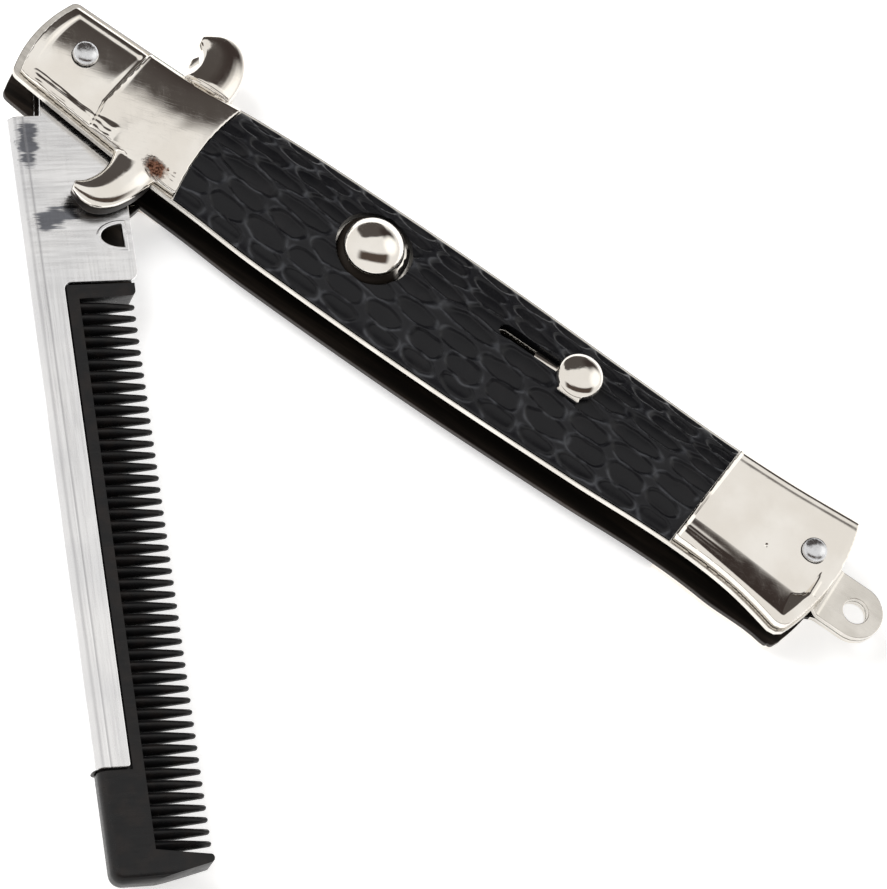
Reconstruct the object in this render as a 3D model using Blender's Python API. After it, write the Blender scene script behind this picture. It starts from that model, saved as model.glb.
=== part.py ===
"""Folding pocket comb whose handle is two steel liners under pressed nickel bolsters and black scales.

The handle lies on its back. +X runs from the comb's pivot to the ring tab, +Y to the closed spine, and -Y to the
open side where the comb swings out. +Z comes out of the front, where the button and the safety slider are.
The origin lies on the back scale's flat face, midway between the two rivets. Sizes below are in millimetres.
Distances named x are measured from the pivot rivet's axis, and the comb's own are along and across the comb.
"""

import math
from collections import namedtuple

import bmesh
import bpy
from mathutils import Matrix, Vector

MM = 0.001
FRONT, BACK = 1, -1

# The stack through the handle, from the back scale's face at 0 to the front scale's face.
SCALE_RISE = 2.3
BOLSTER_RISE = 2.0
LINER_THICK = 0.95
CHANNEL = 5.8
MID_Z = SCALE_RISE + LINER_THICK + CHANNEL / 2
LINER_IN = MID_Z + CHANNEL / 2
LINER_OUT = LINER_IN + LINER_THICK
SEAT_GAP = 0.2
SEAT_Z = LINER_OUT + SEAT_GAP
BOLSTER_TOP = LINER_OUT + BOLSTER_RISE
SCALE_TOP = LINER_OUT + SCALE_RISE

# The handle's outline, with the two edges' distances from the rivets' line.
Station = namedtuple("Station", "x top bottom")
HANDLE = [
    Station(-7.2, 6.55, -7.4),
    Station(8.0, 6.6, -8.9),
    Station(16.0, 6.75, -9.6),
    Station(24.0, 7.4, -10.0),
    Station(34.0, 7.9, -10.65),
    Station(60.0, 8.1, -11.05),
    Station(84.0, 7.5, -10.6),
    Station(98.0, 7.2, -10.05),
    Station(108.0, 7.45, -10.55),
    Station(116.0, 8.05, -12.25),
    Station(120.2, 8.45, -13.9),
]
# The back half flares less at its lower tail corner.
BACK_LIFT = 1.6
BACK_LIFT_FROM, BACK_LIFT_TO = 107.0, 117.5
RIVET_SPACING = 115.5
HEAD_END = -7.2
HEAD_BULGE_Y = -2.0
HEAD_CURVE = 0.0264
TAIL_END = 120.1
TAIL_BULGE_Y = -0.7
TAIL_CURVE = 0.019
CORNER = 1.2

# The ring tab: both liners step towards each other past the handle's end.
TAB_Y = -1.35
TAB_HALF_WIDTH = 3.8
TAB_END_X = 124.75
TAB_STEP_FROM = 120.4
TAB_STEP_TO = 123.0
TAB_GAP = 0.2
RING_HOLE_R = 1.75

# Bolsters and scales.
BOLSTER_INSET_END = 1.0
BOLSTER_INSET_TOP = 0.6
BOLSTER_INSET_BOTTOM = 0.5
TAIL_BOLSTER_INSET_END = 0.2
COLLAR_END_X = 19.7
COLLAR_END_Y = -2.8
COLLAR_END_CURVE = 0.0135
CAP_END_TOP = 6.9
CAP_END_BOTTOM = 5.9
CAP_DROP = 0.4
BOLSTER_ROUND = 1.5
SHEET = 0.6
POCKET_INSET = 1.3
SCALE_GAP = 0.3
SCALE_INSET_TOP = 0.75
SCALE_INSET_BOTTOM = 0.35
SCALE_ROUND = 1.85
TAIL_BOLSTER_TOP_X = 100.4
TAIL_BOLSTER_BOTTOM_X = 99.1

# The guard's horns. Each side of a horn is a curve through the plane of the handle, from its root to its tip.
Horn = namedtuple("Horn", "outer inner")
UPPER_HORN = Horn(
    ((18.9, 5.0), (19.8, 12.6), (14.6, 18.2), (10.9, 12.2)),
    ((11.9, 5.0), (12.6, 7.6), (13.4, 9.6), (11.0, 10.9)),
)
LOWER_HORN = Horn(
    ((17.3, -7.8), (16.9, -12.9), (14.6, -19.6), (8.6, -17.1)),
    ((10.1, -7.8), (11.4, -10.8), (10.9, -13.2), (8.4, -15.8)),
)
HORN_STEPS = 8
HORN_ARC_STEPS = 6
HORN_RISE = 1.3
HORN_HOLLOW_END = 0.8

# Cutters reach past the head bolster to these lines.
PAST_LEFT, PAST_RIGHT = -12, 26
PAST_TOP, PAST_BOTTOM = 20, -22

# Rivets, button and safety slider.
RIVET_HOLE_R = 1.5
RIVET_SHANK_R = 1.3
RIVET_HEAD_R = 1.75
RIVET_HEAD_RISE = 0.9
BUTTON_X, BUTTON_Y = 45.6, 0.3
BUTTON_HOLE_R = 5.3
BUTTON_SKIRT_R = 4.9
BUTTON_DOME_R = 3.9
BUTTON_DOME_TOP = 16.3
BUTTON_STEM_R = 2.2
BUTTON_STEM_CLEARANCE = 0.35
BUTTON_TRAVEL = 0.7
BUTTON_SKIRT_LOW = LINER_OUT + BUTTON_TRAVEL + 0.2
BUTTON_SKIRT_HIGH = SCALE_TOP - 0.3
BUTTON_STEM_LOW = LINER_IN + 0.2
SLIDER_X, SLIDER_Y = 77.3, 1.2
SLIDER_HEAD_R = 3.2
SLIDER_HEAD_LOW = SCALE_TOP + 0.3
SLIDER_HEAD_RISE = 1.9
SLIDER_RIM = 0.35
SLIDER_TAB_HALF_WIDTH = 1.75
SLIDER_TAB_Y = -2.3
SLIDER_TAB_THICK = 0.5
SLIDER_STEM_HALF_LENGTH = 1.5
SLIDER_STEM_HALF_WIDTH = 0.6
SLIDER_TONGUE_X = 70.8
SLIDER_TONGUE_LOW = SEAT_Z + 0.3
SLIDER_TONGUE_THICK = 0.5
SLOT_X_FROM, SLOT_X_TO = 65.0, 79.2
SLOT_HALF_WIDTH = 0.95

# The strip that closes the spine between the liners.
SPACER_FROM, SPACER_TO = 21.0, 112.0
SPACER_DEPTH = 1.4
SPACER_INSET = 0.5

# The comb, in its own axes: along from the pivot to the tip, across from the spine fold to the teeth's tips.
OPEN_ANGLE = 49.7
HOLDER_THICK = 4.2
HOLDER_SHEET = 0.6
HOLDER_SPINE = -11.0
HOLDER_TANG_EDGE = 3.75
HOLDER_STRIP_EDGE = -6.2
HOLDER_SHOULDER = 7.1
HOLDER_NECK = -6.4
HOLDER_WINDOW = 30.9
HOLDER_END = 97.0
HOLDER_FOLD_R = 1.5
HOLDER_NECK_END = 8.5
HOLDER_CORNER = 0.4
WINDOW_ROUND = 1.0
TANG_ROUND = 1.2
EYE_R = 6.2
EYE_HOLE_R = 1.65
DEE_ALONG, DEE_ACROSS, DEE_R = 24.65, 2.45, 1.65
DEE_DEPTH = 2.95
COMB_THICK = 3.6
COMB_CORE_THICK = 2.4
COMB_GAP = 0.3
COMB_ROOT = -4.4
COMB_SPINE = -10.4
COMB_TIP = 111.9
COMB_TIP_ROUND = 1.7
COMB_TIP_SHOULDER = -5.1
FINGER_INSET = 2.4
FINGER_DROP = 0.8
FINGER_ROUND = 0.6
HEAD_ROUND = 0.8
TOOTH_TIP = 3.2
TOOTH_COUNT = 47
TOOTH_FIRST = 33.95
TOOTH_LAST = 107.2
TOOTH_ROOT_HALF = 0.7
TOOTH_TIP_HALF = 0.36
TOOTH_ROOT_DEPTH = 1.5
TOOTH_TIP_DEPTH = 0.45

LOOKS = {
    "nickel": ((0.82, 0.79, 0.74), 0.12, 1.0),
    "liner": ((0.76, 0.73, 0.68), 0.22, 1.0),
    "aluminium": ((0.80, 0.81, 0.83), 0.32, 1.0),
    "rivet": ((0.78, 0.79, 0.81), 0.25, 1.0),
    "scale": ((0.018, 0.018, 0.021), 0.34, 0.0),
    "comb": ((0.022, 0.021, 0.023), 0.42, 0.0),
}


def clear_scene():
    for old in list(bpy.data.objects):
        bpy.data.objects.remove(old, do_unlink=True)


def material(look):
    found = bpy.data.materials.get(look)
    if found:
        return found
    colour, roughness, metallic = LOOKS[look]
    made = bpy.data.materials.new(look)
    made.use_nodes = True
    shader = made.node_tree.nodes["Principled BSDF"]
    shader.inputs["Base Color"].default_value = (*colour, 1.0)
    shader.inputs["Roughness"].default_value = roughness
    shader.inputs["Metallic"].default_value = metallic
    return made


def add_object(name, bm, look, side=FRONT, parent=None):
    """Makes the mesh an object. A shape for the back is turned over about the handle's middle plane."""
    if side == BACK:
        middle = Matrix.Translation((0, 0, -MID_Z * MM))
        bmesh.ops.scale(bm, vec=(1, 1, -1), space=middle, verts=bm.verts)
    bmesh.ops.recalc_face_normals(bm, faces=bm.faces)
    mesh = bpy.data.meshes.new(name)
    bm.to_mesh(mesh)
    bm.free()
    mesh.shade_smooth()
    mesh.set_sharp_from_angle(angle=math.radians(32))
    mesh.materials.append(material(look))
    made = bpy.data.objects.new(name, mesh)
    bpy.context.scene.collection.objects.link(made)
    made.parent = parent
    return made


def combine(target, helper, operation):
    """Cuts or joins the helper and keeps it as a hidden guide."""
    helper.hide_render = True
    helper.display_type = "WIRE"
    modifier = target.modifiers.new(helper.name, "BOOLEAN")
    modifier.operation = operation
    modifier.solver = "EXACT"
    modifier.object = helper


def at(x, y, z):
    """A point of the handle, whose x is counted from the pivot, in metres in the part's frame."""
    return Vector(((x - RIVET_SPACING / 2) * MM, y * MM, z * MM))


def on_comb(along, across, z):
    """A point of the comb in metres, about its own pivot."""
    return Vector((along * MM, across * MM, z * MM))


def loft(bm, sections):
    """One closed solid through sections of equal length, whose first face is extruded to each next section."""
    face = bm.faces.new([bm.verts.new(point) for point in sections[0]])
    for number, section in enumerate(sections[1:]):
        raised = bmesh.ops.extrude_face_region(bm, geom=[face])
        if number:
            bmesh.ops.delete(bm, geom=[face], context="FACES_ONLY")
        face = next(item for item in raised["geom"] if isinstance(item, bmesh.types.BMFace))
        for vert, point in zip(face.verts, section):
            vert.co = point
    return face


def prism(bm, outline, low, high, place=at):
    """A flat outline raised from one height to another. Returns its top face."""
    return loft(bm, [[place(x, y, z) for x, y in outline] for z in (low, high)])


def drum(bm, x, y, radius, low, high, sides, place=at):
    prism(bm, arc(x, y, radius, 0, 360, sides)[:-1], low, high, place)


def turned(bm, x, y, profile, sides):
    """A round solid about a Z axis through (x, y), from (radius, z) points that run upwards."""
    rings = []
    for radius, z in profile:
        rings.append([at(px, py, z) for px, py in arc(x, y, radius, 0, 360, sides)[:-1]])
    loft(bm, rings)


def arc(x, y, radius, start, end, steps):
    """Points on a circle from one angle to another, in degrees, both ends included."""
    found = []
    for step in range(steps + 1):
        angle = math.radians(start + (end - start) * step / steps)
        found.append((x + radius * math.cos(angle), y + radius * math.sin(angle)))
    return found


def handle_edge(x, edge, side=FRONT):
    """The liner's top or bottom edge at x: a cubic through the stations, with their neighbours' slopes."""
    xs = [station.x for station in HANDLE]
    ys = [getattr(station, edge) for station in HANDLE]
    last = len(xs) - 1
    index = max(0, min(last - 1, sum(value <= x for value in xs) - 1))

    def slope(i):
        low, high = max(0, i - 1), min(last, i + 1)
        return (ys[high] - ys[low]) / (xs[high] - xs[low])

    span = xs[index + 1] - xs[index]
    t = (x - xs[index]) / span
    y = (
        ys[index] * (1 + 2 * t) * (1 - t) ** 2
        + slope(index) * span * t * (1 - t) ** 2
        + ys[index + 1] * t * t * (3 - 2 * t)
        + slope(index + 1) * span * t * t * (t - 1)
    )
    if side == BACK and edge == "bottom":
        lifted = max(0.0, min(1.0, (x - BACK_LIFT_FROM) / (BACK_LIFT_TO - BACK_LIFT_FROM)))
        y += BACK_LIFT * lifted * lifted * (3 - 2 * lifted)
    return y


def edge_run(start, end, edge, inset, steps, side=FRONT):
    """Points along an edge of the handle, moved in by the inset."""
    inward = -inset if edge == "top" else inset
    xs = [start + (end - start) * step / steps for step in range(steps + 1)]
    return [(x, handle_edge(x, edge, side) + inward) for x in xs]


def head_end(y):
    return HEAD_END + HEAD_CURVE * (y - HEAD_BULGE_Y) ** 2


def tail_end(y):
    return TAIL_END - TAIL_CURVE * (y - TAIL_BULGE_Y) ** 2


def tail_corner(edge, inset, shift, side):
    """Where the tail's end meets a long edge, both moved in."""
    inward = -inset if edge == "top" else inset
    x = TAIL_END
    for _ in range(5):
        y = handle_edge(x, edge, side) + inward
        x = tail_end(y) - shift
    return x, y


def collar_end(y):
    return COLLAR_END_X + COLLAR_END_CURVE * (y - COLLAR_END_Y) ** 2


def tail_bolster_start(y):
    share = (y - handle_edge(100, "bottom")) / (handle_edge(100, "top") - handle_edge(100, "bottom"))
    return TAIL_BOLSTER_BOTTOM_X + (TAIL_BOLSTER_TOP_X - TAIL_BOLSTER_BOTTOM_X) * share


def end_run(end_x, start, end, shift, steps):
    """Points across the handle along one of the curves above, moved along X by the shift."""
    ys = [start + (end - start) * step / steps for step in range(steps + 1)]
    return [(end_x(y) + shift, y) for y in ys]


def upright_edges(bm, corners):
    """The vertical edges that stand on the given outline points."""
    feet = [at(x, y, 0).xy for x, y in corners]
    found = []
    for edge in bm.edges:
        first, second = (vert.co.xy for vert in edge.verts)
        if (first - second).length < 1e-7 and any((first - foot).length < 1e-6 for foot in feet):
            found.append(edge)
    return found


def round_edges(bm, edges, radius, segments):
    bmesh.ops.recalc_face_normals(bm, faces=bm.faces)
    bmesh.ops.bevel(
        bm, geom=edges, offset=radius * MM, offset_type="OFFSET", affect="EDGES",
        segments=segments, profile=0.5, material=-1, clamp_overlap=True,
    )


def liner_outline(side):
    """The handle's outline with its ring tab, and its four corners."""
    top_left = (head_end(handle_edge(HEAD_END, "top")), handle_edge(HEAD_END, "top"))
    bottom_left = (head_end(handle_edge(HEAD_END, "bottom")), handle_edge(HEAD_END, "bottom"))
    top_right = tail_corner("top", 0, 0, side)
    bottom_right = tail_corner("bottom", 0, 0, side)
    outline = [top_left] + edge_run(top_left[0], top_right[0], "top", 0, 22)[1:]
    outline += end_run(tail_end, top_right[1], TAB_Y + TAB_HALF_WIDTH, 0, 3)[1:]
    outline += arc(TAB_END_X, TAB_Y, TAB_HALF_WIDTH, 90, -90, 12)
    outline += end_run(tail_end, TAB_Y - TAB_HALF_WIDTH, bottom_right[1], 0, 4)[:-1]
    outline += edge_run(bottom_right[0], bottom_left[0], "bottom", 0, 22, side)[:-1]
    outline += end_run(head_end, bottom_left[1], top_left[1], 0, 6)[:-1]
    return outline, [top_left, top_right, bottom_right, bottom_left]


def make_liner(side):
    name = "front_liner" if side == FRONT else "back_liner"
    outline, corners = liner_outline(side)
    bm = bmesh.new()
    prism(bm, outline, LINER_IN, LINER_OUT)
    round_edges(bm, upright_edges(bm, corners), CORNER, 3)
    for bend in (TAB_STEP_FROM, TAB_STEP_TO):
        everything = bm.verts[:] + bm.edges[:] + bm.faces[:]
        bmesh.ops.bisect_plane(bm, geom=everything, plane_co=at(bend, 0, 0), plane_no=(1, 0, 0), dist=1e-7)
    step = LINER_IN - MID_Z - TAB_GAP / 2
    beyond = [vert for vert in bm.verts if vert.co.x > at(TAB_STEP_TO, 0, 0).x - 1e-6]
    bmesh.ops.translate(bm, verts=beyond, vec=(0, 0, -step * MM))
    liner = add_object(name, bm, "liner", side)

    holes = bmesh.new()
    low, high = LINER_IN - 1, LINER_OUT + 1
    for x in (0, RIVET_SPACING):
        drum(holes, x, 0, RIVET_HOLE_R, low, high, 16)
    drum(holes, TAB_END_X, TAB_Y, RING_HOLE_R, MID_Z - 1, low, 20)
    if side == FRONT:
        drum(holes, BUTTON_X, BUTTON_Y, BUTTON_STEM_R + BUTTON_STEM_CLEARANCE, low, high, 16)
        prism(holes, slot_outline(), low, high)
    combine(liner, add_object(name + "_holes", holes, "liner", side), "DIFFERENCE")


def slot_outline():
    """The slider's slot, with a round end at each side."""
    left = arc(SLOT_X_FROM + SLOT_HALF_WIDTH, SLIDER_Y, SLOT_HALF_WIDTH, 90, 270, 6)
    right = arc(SLOT_X_TO - SLOT_HALF_WIDTH, SLIDER_Y, SLOT_HALF_WIDTH, -90, 90, 6)
    return left + right


def curve_point(points, t):
    """The point at t on a cubic curve with four control points."""
    shares = ((1 - t) ** 3, 3 * t * (1 - t) ** 2, 3 * t * t * (1 - t), t**3)
    return sum((share * Vector(point) for share, point in zip(shares, points)), Vector((0, 0)))


def horn_section(shape, t, wall):
    """A half-round section from one side of the horn to the other, with straight sides at its rim."""
    outer, inner = curve_point(shape.outer, t), curve_point(shape.inner, t)
    centre = (outer + inner) / 2
    across = (inner - outer) / 2
    half = across.length - wall
    across.normalize()
    rise = min(half, HORN_RISE)
    shoulder = BOLSTER_TOP - wall - rise
    profile = [(-half, SEAT_Z - 1 - wall)]
    for s, z in arc(0, 0, 1, 180, 0, HORN_ARC_STEPS):
        profile.append((half * s, shoulder + rise * z))
    profile.append((half, SEAT_Z - 1 - wall))
    return [at(centre.x + across.x * s, centre.y + across.y * s, z) for s, z in profile]


def add_horns(bm, wall):
    """Both horns as closed solids. With a wall they are the hollows inside them."""
    for shape in (UPPER_HORN, LOWER_HORN):
        last = HORN_HOLLOW_END if wall else 1
        loft(bm, [horn_section(shape, last * step / HORN_STEPS, wall) for step in range(HORN_STEPS + 1)])


def make_head_bolster(side):
    """Cap, collar and two horns, pressed from one sheet and open underneath."""
    name = "front_head_bolster" if side == FRONT else "back_head_bolster"
    top = handle_edge(0, "top") - BOLSTER_INSET_TOP
    bottom = handle_edge(HEAD_END, "bottom") + BOLSTER_INSET_BOTTOM
    left_top = (head_end(top) + BOLSTER_INSET_END, top)
    left_bottom = (head_end(bottom) + BOLSTER_INSET_END, bottom)
    right_top = handle_edge(COLLAR_END_X, "top") - BOLSTER_INSET_TOP
    right_bottom = handle_edge(COLLAR_END_X, "bottom") + BOLSTER_INSET_BOTTOM
    outline = edge_run(left_top[0], collar_end(right_top), "top", BOLSTER_INSET_TOP, 8)
    outline[0] = left_top
    outline += end_run(collar_end, outline[-1][1], right_bottom, 0, 5)[1:]
    outline += edge_run(outline[-1][0], left_bottom[0], "bottom", BOLSTER_INSET_BOTTOM, 8)[1:-1]
    outline += end_run(head_end, bottom, top, BOLSTER_INSET_END, 5)[:-1]
    bm = bmesh.new()
    lid = prism(bm, outline, SEAT_Z, BOLSTER_TOP)
    collar_rim = at(COLLAR_END_X, 0, 0).x - 1e-6
    rim = [edge for edge in lid.edges if min(vert.co.x for vert in edge.verts) < collar_rim]
    rim += upright_edges(bm, [left_top, left_bottom])
    round_edges(bm, rim, BOLSTER_ROUND, 3)
    bolster = add_object(name, bm, "nickel", side)

    horns = bmesh.new()
    add_horns(horns, 0)
    combine(bolster, add_object(name + "_horns", horns, "nickel", side), "UNION")

    below = bmesh.new()
    everywhere = [(PAST_LEFT, PAST_TOP), (PAST_LEFT, PAST_BOTTOM), (PAST_RIGHT, PAST_BOTTOM), (PAST_RIGHT, PAST_TOP)]
    prism(below, everywhere, SEAT_Z - 3, SEAT_Z)
    combine(bolster, add_object(name + "_below", below, "nickel", side), "DIFFERENCE")

    step = bmesh.new()
    cap = [(PAST_LEFT, 9), (PAST_LEFT, -12), (CAP_END_BOTTOM, -12), (CAP_END_TOP, 9)]
    prism(step, cap, BOLSTER_TOP - CAP_DROP, BOLSTER_TOP + 1)
    combine(bolster, add_object(name + "_step", step, "nickel", side), "DIFFERENCE")

    pocket = bmesh.new()
    inside = edge_run(left_bottom[0] + POCKET_INSET, COLLAR_END_X - SHEET, "top", POCKET_INSET + 0.4, 4)
    inside += edge_run(COLLAR_END_X - SHEET, left_bottom[0] + POCKET_INSET, "bottom", POCKET_INSET + 0.5, 4)
    prism(pocket, inside, SEAT_Z - 1, BOLSTER_TOP - CAP_DROP - SHEET)
    combine(bolster, add_object(name + "_pocket", pocket, "nickel", side), "DIFFERENCE")

    hollows = bmesh.new()
    add_horns(hollows, SHEET)
    combine(bolster, add_object(name + "_hollows", hollows, "nickel", side), "DIFFERENCE")
    cut_rivet_hole(bolster, 0, side)


def cut_rivet_hole(target, x, side):
    hole = bmesh.new()
    drum(hole, x, 0, RIVET_HOLE_R, SEAT_Z - 2, BOLSTER_TOP + 1, 16)
    combine(target, add_object(target.name + "_hole", hole, "rivet", side), "DIFFERENCE")


def make_tail_bolster(side):
    """The flared bolster at the ring's end, pressed and open underneath."""
    name = "front_tail_bolster" if side == FRONT else "back_tail_bolster"
    start_top = tail_bolster_start(handle_edge(100, "top") - BOLSTER_INSET_TOP)
    start_bottom = tail_bolster_start(handle_edge(100, "bottom") + BOLSTER_INSET_BOTTOM)
    top_corner = tail_corner("top", BOLSTER_INSET_TOP, TAIL_BOLSTER_INSET_END, side)
    bottom_corner = tail_corner("bottom", BOLSTER_INSET_BOTTOM, TAIL_BOLSTER_INSET_END, side)
    corners = [top_corner, bottom_corner]
    outline = edge_run(start_top, top_corner[0], "top", BOLSTER_INSET_TOP, 6)
    outline += end_run(tail_end, top_corner[1], bottom_corner[1], -TAIL_BOLSTER_INSET_END, 6)[1:-1]
    outline += edge_run(bottom_corner[0], start_bottom, "bottom", BOLSTER_INSET_BOTTOM, 6, side)
    bm = bmesh.new()
    lid = prism(bm, outline, SEAT_Z, BOLSTER_TOP)
    start = at(TAIL_BOLSTER_TOP_X, 0, 0).x + 1e-3
    rim = [edge for edge in lid.edges if max(vert.co.x for vert in edge.verts) > start]
    rim += upright_edges(bm, corners)
    round_edges(bm, rim, BOLSTER_ROUND, 3)
    bolster = add_object(name, bm, "nickel", side)

    pocket = bmesh.new()
    near, far = TAIL_BOLSTER_TOP_X + SHEET, TAIL_END - 2 * POCKET_INSET
    inside = edge_run(near, far, "top", 2 * POCKET_INSET, 4)
    inside += edge_run(far, near, "bottom", 2 * POCKET_INSET, 4, side)
    prism(pocket, inside, SEAT_Z - 1, BOLSTER_TOP - SHEET)
    combine(bolster, add_object(name + "_pocket", pocket, "nickel", side), "DIFFERENCE")
    cut_rivet_hole(bolster, RIVET_SPACING, side)


def make_scale(side):
    """A black scale between the bolsters, flat on top with rounded long edges."""
    name = "front_scale" if side == FRONT else "back_scale"
    top_y, bottom_y = (handle_edge(COLLAR_END_X, edge) for edge in ("top", "bottom"))
    start_top = collar_end(top_y - SCALE_INSET_TOP) + SCALE_GAP
    start_bottom = collar_end(bottom_y + SCALE_INSET_BOTTOM) + SCALE_GAP
    end_top = tail_bolster_start(handle_edge(100, "top")) - SCALE_GAP
    end_bottom = tail_bolster_start(handle_edge(99, "bottom")) - SCALE_GAP
    outline = edge_run(start_top, end_top, "top", SCALE_INSET_TOP, 14)
    outline += edge_run(end_bottom, start_bottom, "bottom", SCALE_INSET_BOTTOM, 14)
    first, last = outline[0][1], outline[-1][1]
    outline += end_run(collar_end, last, first, SCALE_GAP, 5)[1:-1]
    bm = bmesh.new()
    lid = prism(bm, outline, SEAT_Z, SCALE_TOP)
    long_edges = [edge for edge in lid.edges if abs(edge.verts[0].co.x - edge.verts[1].co.x) > 0.003]
    round_edges(bm, long_edges, SCALE_ROUND, 4)
    scale = add_object(name, bm, "scale", side)
    if side == FRONT:
        cuts = bmesh.new()
        drum(cuts, BUTTON_X, BUTTON_Y, BUTTON_HOLE_R, SEAT_Z - 1, SCALE_TOP + 1, 28)
        prism(cuts, slot_outline(), SEAT_Z - 1, SCALE_TOP + 1)
        combine(scale, add_object(name + "_cuts", cuts, "scale", side), "DIFFERENCE")


def make_spacer():
    """The strip along the closed spine that keeps the liners apart."""
    outline = edge_run(SPACER_FROM, SPACER_TO, "top", SPACER_INSET, 14)
    outline += edge_run(SPACER_TO, SPACER_FROM, "top", SPACER_INSET + SPACER_DEPTH, 14)
    bm = bmesh.new()
    prism(bm, outline, MID_Z - CHANNEL / 2 + SEAT_GAP, MID_Z + CHANNEL / 2 - SEAT_GAP)
    add_object("back_spacer", bm, "liner")


def make_rivet(name, x):
    """A domed head on the front, and an end peened low enough to lie level with the back scale."""
    cap_seat = BOLSTER_TOP + SEAT_GAP
    if x == 0:
        cap_seat -= CAP_DROP
    peened = 2 * MID_Z - cap_seat
    profile = [
        (RIVET_HEAD_R * 0.8, 0),
        (RIVET_HEAD_R, peened * 0.4),
        (RIVET_HEAD_R, peened),
        (RIVET_SHANK_R, peened),
        (RIVET_SHANK_R, cap_seat),
        (RIVET_HEAD_R, cap_seat),
    ]
    for angle in (18, 40, 62):
        turn = math.radians(angle)
        profile.append((RIVET_HEAD_R * math.cos(turn), cap_seat + RIVET_HEAD_RISE * math.sin(turn)))
    profile.append((RIVET_HEAD_R * 0.15, cap_seat + RIVET_HEAD_RISE))
    bm = bmesh.new()
    turned(bm, x, 0, profile, 16)
    add_object(name, bm, "rivet")


def make_button():
    """The domed push button: a stem through the liner, a skirt in the scale's hole, and the dome."""
    profile = [
        (BUTTON_STEM_R, BUTTON_STEM_LOW),
        (BUTTON_STEM_R, BUTTON_SKIRT_LOW),
        (BUTTON_SKIRT_R, BUTTON_SKIRT_LOW),
        (BUTTON_SKIRT_R, BUTTON_SKIRT_HIGH - 0.3),
        (BUTTON_SKIRT_R - 0.4, BUTTON_SKIRT_HIGH),
        (BUTTON_DOME_R, BUTTON_SKIRT_HIGH),
    ]
    dome_low = BUTTON_SKIRT_HIGH + 0.5
    for angle in (0, 18, 36, 54, 72):
        turn = math.radians(angle)
        height = (BUTTON_DOME_TOP - dome_low) * math.sin(turn)
        profile.append((BUTTON_DOME_R * math.cos(turn), dome_low + height))
    profile.append((BUTTON_DOME_R * 0.06, BUTTON_DOME_TOP))
    bm = bmesh.new()
    turned(bm, BUTTON_X, BUTTON_Y, profile, 20)
    add_object("push_button", bm, "nickel")


def make_slider():
    """The safety slider: a shallow domed head with a flat tab, on a stem with a tongue in the slot."""
    profile = [(SLIDER_HEAD_R - 0.2, SLIDER_HEAD_LOW), (SLIDER_HEAD_R, SLIDER_HEAD_LOW + SLIDER_RIM)]
    for angle in (25, 50, 72):
        turn = math.radians(angle)
        height = SLIDER_RIM + (SLIDER_HEAD_RISE - SLIDER_RIM) * math.sin(turn)
        profile.append((SLIDER_HEAD_R * math.cos(turn), SLIDER_HEAD_LOW + height))
    profile.append((SLIDER_HEAD_R * 0.06, SLIDER_HEAD_LOW + SLIDER_HEAD_RISE))
    bm = bmesh.new()
    turned(bm, SLIDER_X, SLIDER_Y, profile, 18)
    slider = add_object("safety_slider", bm, "nickel")

    foot = bmesh.new()
    left, right = SLIDER_X - SLIDER_TAB_HALF_WIDTH, SLIDER_X + SLIDER_TAB_HALF_WIDTH
    tab = [(left, SLIDER_TAB_Y), (right, SLIDER_TAB_Y), (right, SLIDER_Y - 1), (left, SLIDER_Y - 1)]
    tab_low = SLIDER_HEAD_LOW + 0.05
    prism(foot, tab, tab_low, tab_low + SLIDER_TAB_THICK)
    combine(slider, add_object("safety_slider_tab", foot, "nickel"), "UNION")

    stem = bmesh.new()
    low, high = SLIDER_Y - SLIDER_STEM_HALF_WIDTH, SLIDER_Y + SLIDER_STEM_HALF_WIDTH
    left, right = SLIDER_X - SLIDER_STEM_HALF_LENGTH, SLIDER_X + SLIDER_STEM_HALF_LENGTH
    block = [(left, low), (right, low), (right, high), (left, high)]
    prism(stem, block, LINER_IN + 0.1, SLIDER_HEAD_LOW + 0.2)
    combine(slider, add_object("safety_slider_stem", stem, "nickel"), "UNION")

    tongue = bmesh.new()
    strip = [(SLIDER_TONGUE_X, low), (SLIDER_X, low), (SLIDER_X, high), (SLIDER_TONGUE_X, high)]
    prism(tongue, strip, SLIDER_TONGUE_LOW, SLIDER_TONGUE_LOW + SLIDER_TONGUE_THICK)
    combine(slider, add_object("safety_slider_tongue", tongue, "nickel"), "UNION")


def holder_outline():
    """The folded holder from its side: an eye round the pivot, the tang, and the strip along the comb's back."""
    start = math.degrees(math.asin(HOLDER_NECK / (EYE_R + 0.6)))
    corner = HOLDER_CORNER
    outline = [(HOLDER_SHOULDER, HOLDER_NECK), (HOLDER_SHOULDER, HOLDER_SPINE), (HOLDER_END, HOLDER_SPINE)]
    outline += [(HOLDER_END, HOLDER_STRIP_EDGE - corner), (HOLDER_END - corner, HOLDER_STRIP_EDGE)]
    outline += arc(HOLDER_WINDOW + WINDOW_ROUND, HOLDER_STRIP_EDGE + WINDOW_ROUND, WINDOW_ROUND, 270, 180, 3)
    outline += arc(HOLDER_WINDOW - TANG_ROUND, HOLDER_TANG_EDGE - TANG_ROUND, TANG_ROUND, 0, 90, 3)
    outline += [(HOLDER_NECK_END, HOLDER_TANG_EDGE)]
    outline += arc(0, 0, EYE_R, 50, 360 + start, 16)
    return outline


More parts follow.
